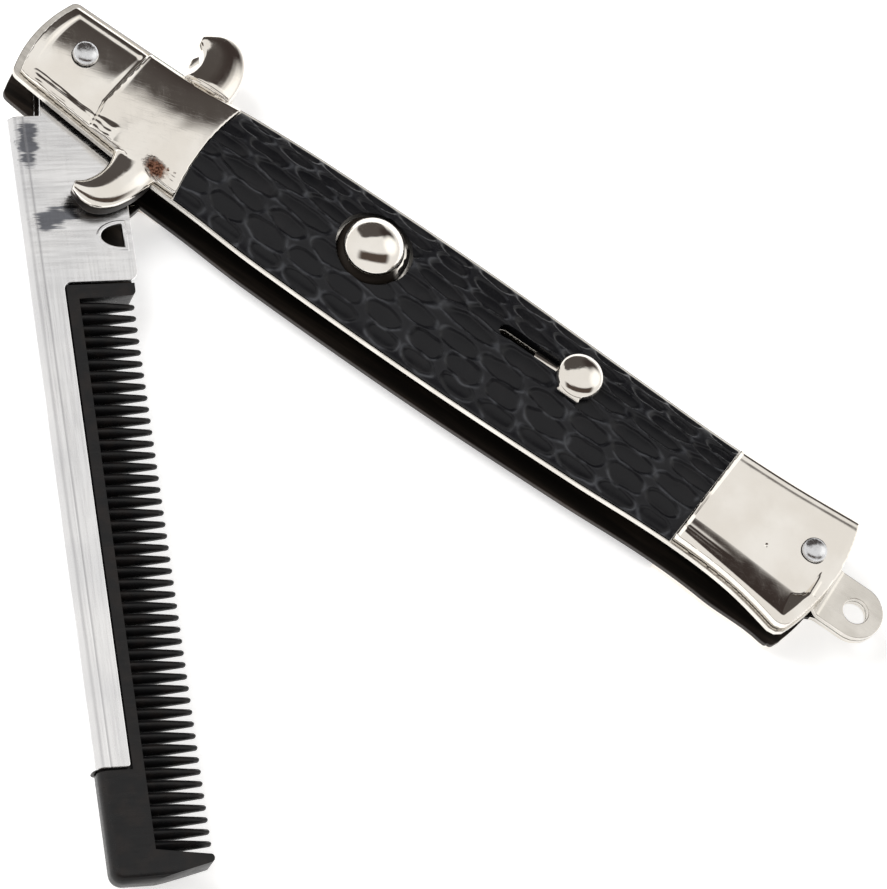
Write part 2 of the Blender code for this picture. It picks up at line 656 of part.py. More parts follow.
def make_holder(axis):
    half = HOLDER_THICK / 2
    bm = bmesh.new()
    prism(bm, holder_outline(), -half, half, on_comb)
    spine = HOLDER_SPINE * MM + 1e-6
    fold = [
        edge for edge in bm.edges
        if all(vert.co.y < spine for vert in edge.verts) and abs(edge.verts[0].co.z - edge.verts[1].co.z) < 1e-6
    ]
    round_edges(bm, fold, HOLDER_FOLD_R, 4)
    holder = add_object("comb_holder", bm, "aluminium", parent=axis)

    inside = bmesh.new()
    box = [(-12, HOLDER_SPINE + HOLDER_SHEET), (110, HOLDER_SPINE + HOLDER_SHEET), (110, 12), (-12, 12)]
    gap = half - HOLDER_SHEET
    prism(inside, box, -gap, gap, on_comb)
    combine(holder, add_object("comb_holder_inside", inside, "aluminium", parent=axis), "DIFFERENCE")

    holes = bmesh.new()
    drum(holes, 0, 0, EYE_HOLE_R, -half - 1, half + 1, 16, on_comb)
    dee = []
    for along, across in arc(DEE_ALONG, DEE_ACROSS, DEE_R, 180, 360, 8):
        dee.append((along, DEE_ACROSS - (DEE_ACROSS - across) * DEE_DEPTH / DEE_R))
    prism(holes, dee, 0, half + 1, on_comb)
    combine(holder, add_object("comb_holder_holes", holes, "aluminium", parent=axis), "DIFFERENCE")


def tooth_section(along, across, half_width, half_depth):
    """A diamond across one tooth."""
    corners = ((-half_width, 0), (0, -half_depth), (half_width, 0), (0, half_depth))
    return [on_comb(along + dx, across, dz) for dx, dz in corners]


def make_comb(axis):
    """The plastic comb: a back with an end tooth at each side, a core inside the holder, and the slim teeth."""
    half = COMB_THICK / 2
    back = HOLDER_STRIP_EDGE + COMB_GAP
    head = HOLDER_WINDOW + COMB_GAP
    first_root = TOOTH_FIRST - TOOTH_ROOT_HALF
    last_root = TOOTH_LAST + TOOTH_ROOT_HALF + 0.1
    outline = [(head, back), (HOLDER_END + COMB_GAP, back), (HOLDER_END + COMB_GAP, COMB_SPINE)]
    outline += arc(COMB_TIP - COMB_TIP_ROUND, COMB_SPINE + COMB_TIP_ROUND, COMB_TIP_ROUND, 270, 360, 4)
    outline += [(COMB_TIP, COMB_TIP_SHOULDER)]
    outline += arc(COMB_TIP - FINGER_INSET, TOOTH_TIP - FINGER_DROP, FINGER_ROUND, 10, 150, 4)
    outline += [(last_root, COMB_ROOT), (first_root - 0.1, COMB_ROOT)]
    outline += arc(head + 1.0, TOOTH_TIP - HEAD_ROUND, HEAD_ROUND, 20, 90, 3)
    outline += [(head, TOOTH_TIP)]
    bm = bmesh.new()
    prism(bm, outline, -half, half, on_comb)
    comb = add_object("comb_teeth", bm, "comb", parent=axis)

    core = bmesh.new()
    low, high = HOLDER_SPINE + HOLDER_SHEET + COMB_GAP, back + 0.5
    strip = [(head, low), (HOLDER_END + 1, low), (HOLDER_END + 1, high), (head + 0.3, high)]
    prism(core, strip, -COMB_CORE_THICK / 2, COMB_CORE_THICK / 2, on_comb)
    combine(comb, add_object("comb_teeth_core", core, "comb", parent=axis), "UNION")

    teeth = bmesh.new()
    pitch = (TOOTH_LAST - TOOTH_FIRST) / (TOOTH_COUNT - 1)
    for number in range(TOOTH_COUNT):
        along = TOOTH_FIRST + pitch * number
        loft(teeth, [
            tooth_section(along, COMB_ROOT - 0.8, TOOTH_ROOT_HALF, TOOTH_ROOT_DEPTH),
            tooth_section(along, COMB_ROOT, TOOTH_ROOT_HALF, TOOTH_ROOT_DEPTH),
            tooth_section(along, TOOTH_TIP - 0.3, TOOTH_TIP_HALF, TOOTH_TIP_DEPTH),
            tooth_section(along, TOOTH_TIP, TOOTH_TIP_HALF / 2, TOOTH_TIP_DEPTH / 2),
        ])
    combine(comb, add_object("comb_teeth_slim", teeth, "comb", parent=axis), "UNION")


def main():
    clear_scene()
    for side in (FRONT, BACK):
        make_liner(side)
        make_head_bolster(side)
        make_tail_bolster(side)
        make_scale(side)
    make_spacer()
    make_rivet("pivot_rivet", 0)
    make_rivet("tail_rivet", RIVET_SPACING)
    make_button()
    make_slider()

    axis = bpy.data.objects.new("comb_axis", None)
    bpy.context.scene.collection.objects.link(axis)
    axis.location = at(0, 0, MID_Z)
    axis.rotation_euler.z = -math.radians(OPEN_ANGLE)
    make_holder(axis)
    make_comb(axis)


main()
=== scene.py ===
"""A folding pocket comb, dressed for the photograph: pressed nickel bolsters, jigged black scales, steel
liners, the folded aluminium holder and the plastic comb, with the studio light and the camera.

Distances called x, y and z below are millimetres in the frame, with x counted from the pivot rivet. The
comb's own are along it and across it from the pivot, and up from its middle.
"""

import math
import random
from collections import namedtuple

import bmesh
import bpy
from mathutils import Matrix, Vector, noise


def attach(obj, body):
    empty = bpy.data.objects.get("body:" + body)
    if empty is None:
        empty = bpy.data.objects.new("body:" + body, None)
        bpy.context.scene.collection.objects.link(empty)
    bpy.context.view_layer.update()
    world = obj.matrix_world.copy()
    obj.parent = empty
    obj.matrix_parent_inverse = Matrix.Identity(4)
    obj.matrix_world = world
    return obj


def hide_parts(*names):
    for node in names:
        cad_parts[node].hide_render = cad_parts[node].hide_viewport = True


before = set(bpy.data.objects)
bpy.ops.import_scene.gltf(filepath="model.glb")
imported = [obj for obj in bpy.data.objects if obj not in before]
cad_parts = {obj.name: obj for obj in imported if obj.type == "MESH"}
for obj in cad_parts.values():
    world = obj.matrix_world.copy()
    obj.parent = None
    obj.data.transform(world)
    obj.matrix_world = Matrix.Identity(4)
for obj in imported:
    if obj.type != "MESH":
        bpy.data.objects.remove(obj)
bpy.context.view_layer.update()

MM = 0.001
FRONT, BACK = 1, -1

# The stack through the handle.
MID_Z = 6.15
LINER_IN = 9.05
LINER_OUT = 10.0
SEAT_Z = 10.2
BOLSTER_TOP = 12.0
SCALE_TOP = 12.3

# The handle's outline, with the two edges' distances from the rivets' line.
Station = namedtuple("Station", "x top bottom")
HANDLE = [
    Station(-7.2, 6.55, -7.4),
    Station(8.0, 6.6, -8.9),
    Station(16.0, 6.75, -9.6),
    Station(24.0, 7.4, -10.0),
    Station(34.0, 7.9, -10.65),
    Station(60.0, 8.1, -11.05),
    Station(84.0, 7.5, -10.6),
    Station(98.0, 7.2, -10.05),
    Station(108.0, 7.45, -10.55),
    Station(116.0, 8.05, -12.25),
    Station(120.2, 8.45, -13.9),
]
# The back half flares less at its lower tail corner.
BACK_LIFT = 1.6
BACK_LIFT_FROM, BACK_LIFT_TO = 107.0, 117.5
LINER_CORNER_R = 1.2
TAIL_CORNER_R = 1.7
RIVET_SPACING = 115.5

# Where the handle, the collar and the tail bolster end. An end bows along x with the square of the distance
# from the bow's y.
HEAD_END, HEAD_BOW_Y, HEAD_BOW = -7.2, -2.0, 0.0264
COLLAR_END, COLLAR_BOW_Y, COLLAR_BOW = 19.7, -2.8, 0.0135
TAIL_END, TAIL_BOW_Y, TAIL_BOW = 120.1, -0.7, 0.019
TAIL_START, TAIL_START_SLANT = 99.1, 1.3
CAP_LINE_X, CAP_LINE_BEND_Y = 5.8, -4.1

# The ring tab.
TAB_Y = -1.35
TAB_HALF_WIDTH = 3.8
TAB_END_X = 124.75
TAB_STEP_FROM = 117.9
TAB_STEP_TO = 120.9
TAB_GAP = 0.2
RING_HOLE_R = 1.75

# The strip along the closed spine.
STRIP_FROM, STRIP_TO = 21.0, 112.0
STRIP_INSET, STRIP_INNER_INSET = 0.5, 1.9
STRIP_HALF_HEIGHT = 2.7

# Bolsters and scales.
INSET_END = 1.0
INSET_TAIL = 0.2
INSET_TOP = 0.6
INSET_BOTTOM = 0.5
CAP_DROP = 0.4
CREST_Y = -1.6
SHEET = 0.6
SKIN_STEP = 0.15
SCALE_GAP = 0.1
SCALE_INSET_TOP = 0.4
SCALE_INSET_BOTTOM = 0.25

# The guard's horns. Each side is a curve in the handle's plane, from the root to the tip.
Horn = namedtuple("Horn", "outer inner")
UPPER_HORN = Horn(
    ((18.9, 6.5), (19.8, 13.6), (14.6, 19.4), (10.9, 13.0)),
    ((11.9, 6.1), (12.6, 7.8), (13.4, 10.2), (11.0, 11.7)),
)
LOWER_HORN = Horn(
    ((17.3, -7.8), (16.9, -12.9), (14.6, -19.6), (9.1, -17.3)),
    ((10.1, -7.8), (11.4, -10.8), (11.1, -13.2), (8.8, -16.1)),
)
HORN_RISE = 1.6
HORN_LOW = 8.7
UPPER_HORN_DROOP = 0.17
HORN_HOLLOW_END = 0.6
# Below this height the lower horn's walls take the dark steel, as painted shade.
SHADE_WALL_TOP = 10.9

# Rivets, button and safety slider.
RIVET_HOLE_R = 1.5
RIVET_SHANK_R = 1.3
RIVET_HEAD_R = 1.75
RIVET_HEAD_RISE = 0.9
BUTTON_X, BUTTON_Y = 45.6, 0.3
BUTTON_HOLE_R = 5.3
BUTTON_SKIRT_R = 4.9
BUTTON_SKIRT_LOW = 10.9
BUTTON_SKIRT_HIGH = 12.0
BUTTON_DOME_R = 4.05
BUTTON_DOME_TOP = 16.3
BUTTON_DOME_SHIFT = (-0.15, -0.5, -0.6)
BUTTON_RIM_SLOPE = 56
BUTTON_FILLET = 0.4
BUTTON_STEM_R = 2.2
BUTTON_STEM_LOW = 9.25
SLIDER_X, SLIDER_Y = 77.3, 1.2
SLIDER_HEAD_R = 3.2
SLIDER_HEAD_LOW = 12.6
SLIDER_HEAD_RISE = 1.9
SLIDER_TAB_HALF_WIDTH = 1.75
SLIDER_TAB_Y = -2.3
SLIDER_TONGUE_X = 70.8
SLOT_FROM, SLOT_TO = 65.0, 79.2
SLOT_HALF_WIDTH = 0.95

# The comb.
OPEN_ANGLE = 49.7
HOLDER_THICK = 4.2
HOLDER_SPINE = -11.0
HOLDER_TANG_EDGE = 3.75
HOLDER_STRIP_EDGE = -6.2
HOLDER_SHOULDER = 7.1
HOLDER_NECK = -6.4
HOLDER_WINDOW = 30.9
HOLDER_END = 97.0
HOLDER_FOLD_R = 1.8
EYE_R = 6.2
EYE_HOLE_R = 1.65
DEE_ALONG, DEE_ACROSS, DEE_R, DEE_DEPTH = 24.65, 2.45, 1.65, 2.95
COMB_THICK = 3.6
COMB_CORE_THICK = 2.4
COMB_GAP = 0.3
COMB_ROOT = -4.4
COMB_SPINE = -10.4
COMB_TIP = 111.9
TOOTH_TIP = 3.2
TOOTH_COUNT = 47
TOOTH_FIRST, TOOTH_LAST = 33.95, 107.2

# The camera over the photograph's frame.
TILT = math.radians(27)
ROLL_COS, ROLL_SIN = 0.82556, 0.56431
AIM_X, AIM_Y = 9.83, -11.74
CAMERA_DISTANCE = 725.4
FOCAL_PIXELS = 5500
LONG_SIDE_PIXELS = 889


# Places and outlines


def at(x, y, z):
    """A point of the handle in metres."""
    return Vector(((x - RIVET_SPACING / 2) * MM, y * MM, z * MM))


def on_handle(point):
    """The handle's x, y and z of a point in metres."""
    return point.x / MM + RIVET_SPACING / 2, point.y / MM, point.z / MM


COMB_TURN = Matrix.Translation(at(0, 0, MID_Z)) @ Matrix.Rotation(-math.radians(OPEN_ANGLE), 4, "Z")


def on_comb(along, across, z):
    """A point of the comb in metres."""
    return COMB_TURN @ Vector((along * MM, across * MM, z * MM))


def blend(low, high, value):
    """0 below low, 1 above high, and smooth between."""
    t = max(0.0, min(1.0, (value - low) / (high - low)))
    return t * t * (3 - 2 * t)


def hill(distance, width):
    """1 at no distance, and falling off smoothly to both sides."""
    return math.exp(-((distance / width) ** 2))


def spaced(start, end, steps):
    """Evenly spaced numbers, both ends included."""
    return [start + (end - start) * step / steps for step in range(steps + 1)]


def arc(x, y, radius, start, end, steps):
    """Points on a circle from one angle to another, in degrees."""
    turns = [math.radians(angle) for angle in spaced(start, end, steps)]
    return [(x + radius * math.cos(turn), y + radius * math.sin(turn)) for turn in turns]


def handle_edge(x, edge, side=FRONT):
    """The liner's top or bottom edge at x: a smooth curve through the stations."""
    xs = [station.x for station in HANDLE]
    ys = [getattr(station, edge) for station in HANDLE]
    last = len(xs) - 1
    index = max(0, min(last - 1, sum(value <= x for value in xs) - 1))

    def slope(i):
        low, high = max(0, i - 1), min(last, i + 1)
        return (ys[high] - ys[low]) / (xs[high] - xs[low])

    span = xs[index + 1] - xs[index]
    t = (x - xs[index]) / span
    y = (
        ys[index] * (1 + 2 * t) * (1 - t) ** 2
        + slope(index) * span * t * (1 - t) ** 2
        + ys[index + 1] * t * t * (3 - 2 * t)
        + slope(index + 1) * span * t * t * (t - 1)
    )
    if side == BACK and edge == "bottom":
        y += BACK_LIFT * blend(BACK_LIFT_FROM, BACK_LIFT_TO, x)
    return y


def edge_run(start, end, edge, inset, steps, side=FRONT):
    """Points along a long edge of the handle, moved in by the inset."""
    inward = -inset if edge == "top" else inset
    return [(x, handle_edge(x, edge, side) + inward) for x in spaced(start, end, steps)]


def bolster_edges(x):
    """A bolster's top and bottom edges at x."""
    return handle_edge(x, "top") - INSET_TOP, handle_edge(x, "bottom") + INSET_BOTTOM


def head_end(y):
    return HEAD_END + HEAD_BOW * (y - HEAD_BOW_Y) ** 2


def tail_end(y):
    return TAIL_END - TAIL_BOW * (y - TAIL_BOW_Y) ** 2


def tail_corner(edge, inset, shift, side):
    """Where the tail's end meets a long edge, both moved in."""
    inward = -inset if edge == "top" else inset
    x = TAIL_END
    for _ in range(5):
        y = handle_edge(x, edge, side) + inward
        x = tail_end(y) - shift
    return x, y


def ease_tail_corner(bm, inset, shift, side):
    """Draws the tail's lower corner in, to a rounder one."""
    corner = Vector(tail_corner("bottom", inset, shift, side))
    beyond, above = corner.x - 4, corner.y + 4
    along = (Vector((beyond, handle_edge(beyond, "bottom", side) + inset)) - corner).normalized()
    up = (Vector((tail_end(above) - shift, above)) - corner).normalized()
    skew = along.x * up.y - along.y * up.x
    for vert in bm.verts:
        place = Vector(on_handle(vert.co)[:2]) - corner
        left = TAIL_CORNER_R - (place.x * up.y - place.y * up.x) / skew
        down = TAIL_CORNER_R - (along.x * place.y - along.y * place.x) / skew
        if left > 0 and down > 0:
            share = max(left, down) / math.hypot(left, down)
            eased = along * (TAIL_CORNER_R - left * share) + up * (TAIL_CORNER_R - down * share)
            vert.co.xy = at(*(corner + eased), 0).xy


def collar_end(y):
    return COLLAR_END + COLLAR_BOW * (y - COLLAR_BOW_Y) ** 2


def tail_start(y):
    """The edge of the tail bolster beside the scale."""
    bottom = handle_edge(100, "bottom")
    return TAIL_START + TAIL_START_SLANT * (y - bottom) / (handle_edge(100, "top") - bottom)


def cap_line(y):
    """The step between the cap and the collar of the head bolster."""
    if y > CAP_LINE_BEND_Y:
        return CAP_LINE_X + 1.1 * (y - CAP_LINE_BEND_Y) / 10.4
    return CAP_LINE_X + 0.45 * (CAP_LINE_BEND_Y - y) / 4.0


def end_run(end_x, start, end, shift, steps):
    """Points along a curved end, from one y to another."""
    return [(end_x(y) + shift, y) for y in spaced(start, end, steps)]


def slot_outline(steps):
    left = arc(SLOT_FROM + SLOT_HALF_WIDTH, SLIDER_Y, SLOT_HALF_WIDTH, 90, 270, steps)
    right = arc(SLOT_TO - SLOT_HALF_WIDTH, SLIDER_Y, SLOT_HALF_WIDTH, -90, 90, steps)
    return left + right


# Shaping tools


def loft(bm, sections):
    """One closed solid: the first section's face, extruded to each next section."""
    face = bm.faces.new([bm.verts.new(point) for point in sections[0]])
    for number, section in enumerate(sections[1:]):
        raised = bmesh.ops.extrude_face_region(bm, geom=[face])
        if number:
            bmesh.ops.delete(bm, geom=[face], context="FACES_ONLY")
        face = next(item for item in raised["geom"] if isinstance(item, bmesh.types.BMFace))
        for vert, point in zip(face.verts, section):
            vert.co = point
    return face


def prism(bm, outline, low, high):
    return loft(bm, [[at(x, y, z) for x, y in outline] for z in (low, high)])


def drum(bm, x, y, radius, low, high, sides):
    prism(bm, arc(x, y, radius, 0, 360, sides)[:-1], low, high)


def spun(bm, x, y, profile, steps):
    """A round solid about the Z axis through (x, y), from (radius, z) points."""
    verts = [bm.verts.new(at(x + radius, y, z)) for radius, z in profile]
    edges = [bm.edges.new(pair) for pair in zip(verts, verts[1:])]
    bmesh.ops.spin(
        bm, geom=verts + edges, cent=at(x, y, 0), axis=(0, 0, 1), angle=2 * math.pi, steps=steps,
        use_merge=True,
    )
    bmesh.ops.remove_doubles(bm, verts=bm.verts, dist=1e-6)


def domed(radius, low, high, fullness, angles):
    """Points of a profile up a dome's side to its crown."""
    turns = [math.radians(angle) for angle in angles]
    side = [(radius * math.cos(turn) ** fullness, low + (high - low) * math.sin(turn)) for turn in turns]
    return side + [(0, high)]


def is_level(edge):
    return abs(edge.verts[0].co.z - edge.verts[1].co.z) < 1e-6


def upright_edges(bm, corners):
    """The vertical edges that stand on the given outline points."""
    feet = [at(x, y, 0).xy for x, y in corners]
    found = []
    for edge in bm.edges:
        first, second = (vert.co.xy for vert in edge.verts)
        if (first - second).length < 1e-7 and any((first - foot).length < 1e-6 for foot in feet):
            found.append(edge)
    return found


def round_edges(bm, edges, radius, segments):
    bmesh.ops.recalc_face_normals(bm, faces=bm.faces)
    bmesh.ops.bevel(
        bm, geom=edges, offset=radius * MM, offset_type="OFFSET", affect="EDGES",
        segments=segments, profile=0.5, material=-1, clamp_overlap=True,
    )


def sharp_edges(bm, degrees):
    """The edges where two faces meet at more than the given angle."""
    bmesh.ops.recalc_face_normals(bm, faces=bm.faces)
    limit = math.radians(degrees)
    return [edge for edge in bm.edges if edge.is_manifold and edge.calc_face_angle(0) > limit]


def slice_at(bm, place, across):
    """Cuts the faces where a plane crosses them, and keeps both sides."""
    everything = bm.verts[:] + bm.edges[:] + bm.faces[:]
    bmesh.ops.bisect_plane(bm, geom=everything, plane_co=place, plane_no=across, dist=1e-7)


def turn_over(bm):
    """Mirrors a front shape to the back, about the handle's middle plane."""
    middle = Matrix.Translation((0, 0, -MID_Z * MM))
    bmesh.ops.scale(bm, vec=(1, 1, -1), space=middle, verts=bm.verts)


def swing_open(bm):
    """Turns a shape of the comb about the pivot to where the comb lies."""
    from_pivot = Matrix.Translation((RIVET_SPACING / 2 * MM, 0, 0))
    bmesh.ops.transform(bm, matrix=COMB_TURN @ from_pivot, verts=bm.verts)


def on_side(side, piece):
    return ("front_" if side == FRONT else "back_") + piece


def put(name, bm):
    bmesh.ops.recalc_face_normals(bm, faces=bm.faces)
    mesh = bpy.data.meshes.new(name)
    bm.to_mesh(mesh)
    bm.free()
    made = bpy.data.objects.new(name, mesh)
    bpy.context.scene.collection.objects.link(made)
    return made


def change(obj, kind, **settings):
    modifier = obj.modifiers.new(kind.lower(), kind)
    for key, value in settings.items():
        setattr(modifier, key, value)


def combine(obj, name, bm, operation="DIFFERENCE"):
    """Cuts a second shape from the piece, or joins it on."""
    helper = put(name, bm)
    change(obj, "BOOLEAN", operation=operation, solver="EXACT", object=helper)
    return helper


def settle(obj, helpers):
    """Applies the piece's modifiers, returns its shape, and clears the piece and its helpers away."""
    graph = bpy.context.evaluated_depsgraph_get()
    mesh = bpy.data.meshes.new_from_object(obj.evaluated_get(graph))
    bm = bmesh.new()
    bm.from_mesh(mesh)
    bpy.data.meshes.remove(mesh)
    for used in (obj, *helpers):
        old = used.data
        bpy.data.objects.remove(used, do_unlink=True)
        bpy.data.meshes.remove(old)
    bmesh.ops.remove_doubles(bm, verts=bm.verts, dist=2e-6)
    bmesh.ops.dissolve_degenerate(bm, edges=bm.edges, dist=1e-6)
    return bm


def finish_piece(name, bm, look, body, node, smooth_angle=38):
    """Makes the shape a piece with its finish that rides on its body and stands for its node."""
    made = put(name, bm)
    made.data.shade_smooth()
    made.data.set_sharp_from_angle(angle=math.radians(smooth_angle))
    made.data.materials.append(look)
    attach(made, body)
    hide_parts(node)
    return made


# Liners and spine strip


def liner_outline(side):
    top, bottom = (handle_edge(HEAD_END, edge) for edge in ("top", "bottom"))
    top_left, bottom_left = (head_end(top), top), (head_end(bottom), bottom)
    top_right = tail_corner("top", 0, 0, side)
    bottom_right = tail_corner("bottom", 0, 0, side)
    outline = [top_left] + edge_run(top_left[0], top_right[0], "top", 0, 90)[1:]
    outline += end_run(tail_end, top_right[1], TAB_Y + TAB_HALF_WIDTH, 0, 6)[1:]
    outline += arc(TAB_END_X, TAB_Y, TAB_HALF_WIDTH, 90, -90, 32)
    outline += end_run(tail_end, TAB_Y - TAB_HALF_WIDTH, bottom_right[1], 0, 6)[:-1]
    outline += edge_run(bottom_right[0], bottom_left[0], "bottom", 0, 90, side)[:-1]
    outline += end_run(head_end, bottom, top, 0, 20)[:-1]
    return outline, [top_left, top_right, bottom_right, bottom_left]


def make_liner(side, look, channel):
    name = on_side(side, "liner")
    outline, corners = liner_outline(side)
    bm = bmesh.new()
    prism(bm, outline, LINER_IN, LINER_OUT)
    round_edges(bm, upright_edges(bm, corners), LINER_CORNER_R, 8)
    liner = put(name + "_blank", bm)

    holes = bmesh.new()
    low, high = LINER_IN - 1, LINER_OUT + 1
    for x in (0, RIVET_SPACING):
        drum(holes, x, 0, RIVET_HOLE_R, low, high, 32)
    drum(holes, TAB_END_X, TAB_Y, RING_HOLE_R, low, high, 48)
    if side == FRONT:
        drum(holes, BUTTON_X, BUTTON_Y, BUTTON_STEM_R + 0.35, low, high, 32)
        prism(holes, slot_outline(10), low, high)
    bm = settle(liner, [combine(liner, name + "_punch", holes)])
    ease_tail_corner(bm, 0, 0, side)
    round_edges(bm, [edge for edge in sharp_edges(bm, 50) if is_level(edge)], 0.1, 2)

    for x in spaced(TAB_STEP_FROM, TAB_STEP_TO, 16):
        slice_at(bm, at(x, 0, 0), (1, 0, 0))
    tab_side, clear_of_tab = TAB_HALF_WIDTH + 0.05, TAB_HALF_WIDTH + 0.6
    for y in (tab_side, -tab_side, clear_of_tab, -clear_of_tab):
        slice_at(bm, at(0, TAB_Y + y, 0), (0, 1, 0))
    drop = LINER_IN - MID_Z - TAB_GAP / 2
    for vert in bm.verts:
        # The tab's half bends in to its fellow.
        x, y, _ = on_handle(vert.co)
        on_tab = 1 - blend(tab_side, clear_of_tab, abs(y - TAB_Y))
        vert.co.z -= drop * MM * on_tab * blend(TAB_STEP_FROM, TAB_STEP_TO, x)
    handle_end = at(TAIL_END, 0, 0).x
    # Painted shade: the inner faces, and the back liner's rim on the -y side, take the dark steel.
    for face in bm.faces:
        shaded_rim = side == BACK and face.normal.y < -0.3
        if (face.normal.z < -0.5 or shaded_rim) and face.calc_center_median().x < handle_end:
            face.material_index = 1
    if side == BACK:
        turn_over(bm)
    made = finish_piece(name + "_plate", bm, look, "handle", name, 20)
    made.data.materials.append(channel)
    return made


def make_spine_strip(look):
    outline = edge_run(STRIP_FROM, STRIP_TO, "top", STRIP_INSET, 60)
    outline += edge_run(STRIP_TO, STRIP_FROM, "top", STRIP_INNER_INSET, 60)
    bm = bmesh.new()
    prism(bm, outline, MID_Z - STRIP_HALF_HEIGHT, MID_Z + STRIP_HALF_HEIGHT)
    round_edges(bm, sharp_edges(bm, 50), 0.12, 2)
    # Its look is the dark steel, as painted shade inside the channel.
    return finish_piece("spine_strip", bm, look, "handle", "back_spacer")


# Bolsters


def section_rise(w):
    """The scale's height across it, 1 at its crown and 0 at its edges, for w from -1 to 1."""
    return max(0.0, 1 - abs(w) ** 2.1) ** 0.7


def across_share(x, y, peak):
    """0 along a bolster's crest at y = peak, and 1 at its long edges."""
    top, bottom = bolster_edges(x)
    return min(1.0, (y - peak) / (top - peak) if y > peak else (peak - y) / (peak - bottom))


def curve_point(points, t):
    shares = ((1 - t) ** 3, 3 * t * (1 - t) ** 2, 3 * t * t * (1 - t), t**3)
    return sum((share * Vector(point) for share, point in zip(shares, points)), Vector((0, 0)))


def horn_section(shape, t, wall):
    """A half-round section from one side of the horn to the other, with straight sides at its rim."""
    outer, inner = curve_point(shape.outer, t), curve_point(shape.inner, t)
    centre = (outer + inner) / 2
    across = (inner - outer) / 2
    half = across.length - wall
    across.normalize()
    rise = min(half, HORN_RISE)
    shoulder = BOLSTER_TOP - wall - rise
    low = min(HORN_LOW + 1.2 * blend(0.75, 1, t), BOLSTER_TOP - rise - 0.1) - wall
    profile = [(-half, low)]
    for s, z in arc(0, 0, 1, 180, 0, 16):
        profile.append((half * s, shoulder + rise * z))
    profile.append((half, low))
    return [at(centre.x + across.x * s, centre.y + across.y * s, z) for s, z in profile]


def horns(wall):
    """Both horns, or with a wall's thickness the hollows in them."""
    bm = bmesh.new()
    for shape in (UPPER_HORN, LOWER_HORN):
        last = HORN_HOLLOW_END if wall else 1
        loft(bm, [horn_section(shape, t, wall) for t in spaced(0, last, 26)])
    return bm


def rivet_hole(x):
    bm = bmesh.new()
    drum(bm, x, 0, RIVET_HOLE_R, SEAT_Z - 2, BOLSTER_TOP + 1, 32)
    return bm


def drawn_skin(bolster, helpers, voxel, passes):
    """Turns the joined shapes into one even skin, with the soft corners of pressed sheet."""
    change(bolster, "REMESH", mode="VOXEL", voxel_size=voxel * MM, adaptivity=0.0)
    change(bolster, "SMOOTH", factor=0.5, iterations=passes)
    return settle(bolster, helpers)


def cap_outline():
    top, bottom = bolster_edges(0)[0], bolster_edges(HEAD_END)[1]
    left_top, left_bottom = (head_end(top) + INSET_END, top), (head_end(bottom) + INSET_END, bottom)
    right_top, right_bottom = bolster_edges(COLLAR_END)
    outline = edge_run(left_top[0], collar_end(right_top), "top", INSET_TOP, 24)
    outline[0] = left_top
    outline += end_run(collar_end, outline[-1][1], right_bottom, 0, 14)[1:]
    outline += edge_run(outline[-1][0], left_bottom[0], "bottom", INSET_BOTTOM, 24)[1:-1]
    outline += end_run(head_end, bottom, top, INSET_END, 12)[:-1]
    return outline, [left_top, left_bottom]


def cap_relief(x, y):
    """How far the pressed face stands above or below its plain height, in millimetres."""
    top, bottom = bolster_edges(x)
    past_line = x - cap_line(y)
    on_cap = 1 - blend(-0.25, 0.1, past_line)
    relief = -CAP_DROP * on_cap

    # The cap is sunk a little more inside its border, and a bead runs along its step.
    from_edge = min(top - y, y - bottom, x - head_end(y) - INSET_END)
    relief -= 0.14 * on_cap * blend(1.0, 1.9, from_edge)
    bead = 0.08 * hill(past_line - 0.1, 0.25) - 0.05 * hill(past_line + 0.5, 0.3)
    relief += blend(-5.6, -3.6, y) * bead + 0.008 * noise.noise(Vector((x * 0.35, y * 0.35, 5.0)))

    # Small folds crowd along the lower edge, on both sides of the horn.
    low = y - bottom
    before_horn = blend(-4.5, -2.5, x) * (1 - blend(8.6, 9.6, x))
    after_horn = blend(16.9, 17.9, x) * (1 - blend(18.9, 19.4, x))
    wavy = low + 0.2 * noise.noise(Vector((x * 0.45, y * 0.5, 3.0)))
    folds = 0.5 * math.sin(2 * math.pi * wavy / 0.7) + 0.5 * noise.noise(Vector((x * 0.7, y * 2.6, 9.0)))
    relief += 0.08 * folds * (before_horn + after_horn) * (1 - blend(1.7, 2.2, low))
    relief += 0.18 * before_horn * (1 - hill(past_line, 0.7)) * (1 - blend(-6.7, -6.1, y))
    return relief


def cap_dome(x, y):
    """The pressed face's share of its full height: 1 along its crest, less towards its long edges."""
    lost = 1 - max(0.0, 1 - across_share(x, y, CREST_Y) ** 1.9) ** 0.8
    if y < CREST_Y:
        over_horn = blend(6.0, 10.6, x) * (1 - blend(15.6, 18.6, x))
        return 1 - 0.35 * lost * (1 - 0.9 * over_horn)
    rounded = 1 - blend(0.0, 0.7, bolster_edges(x)[0] - y)
    return 1 - 0.52 * lost * (1 - 0.45 * blend(12.0, 20.5, x)) - 0.16 * rounded


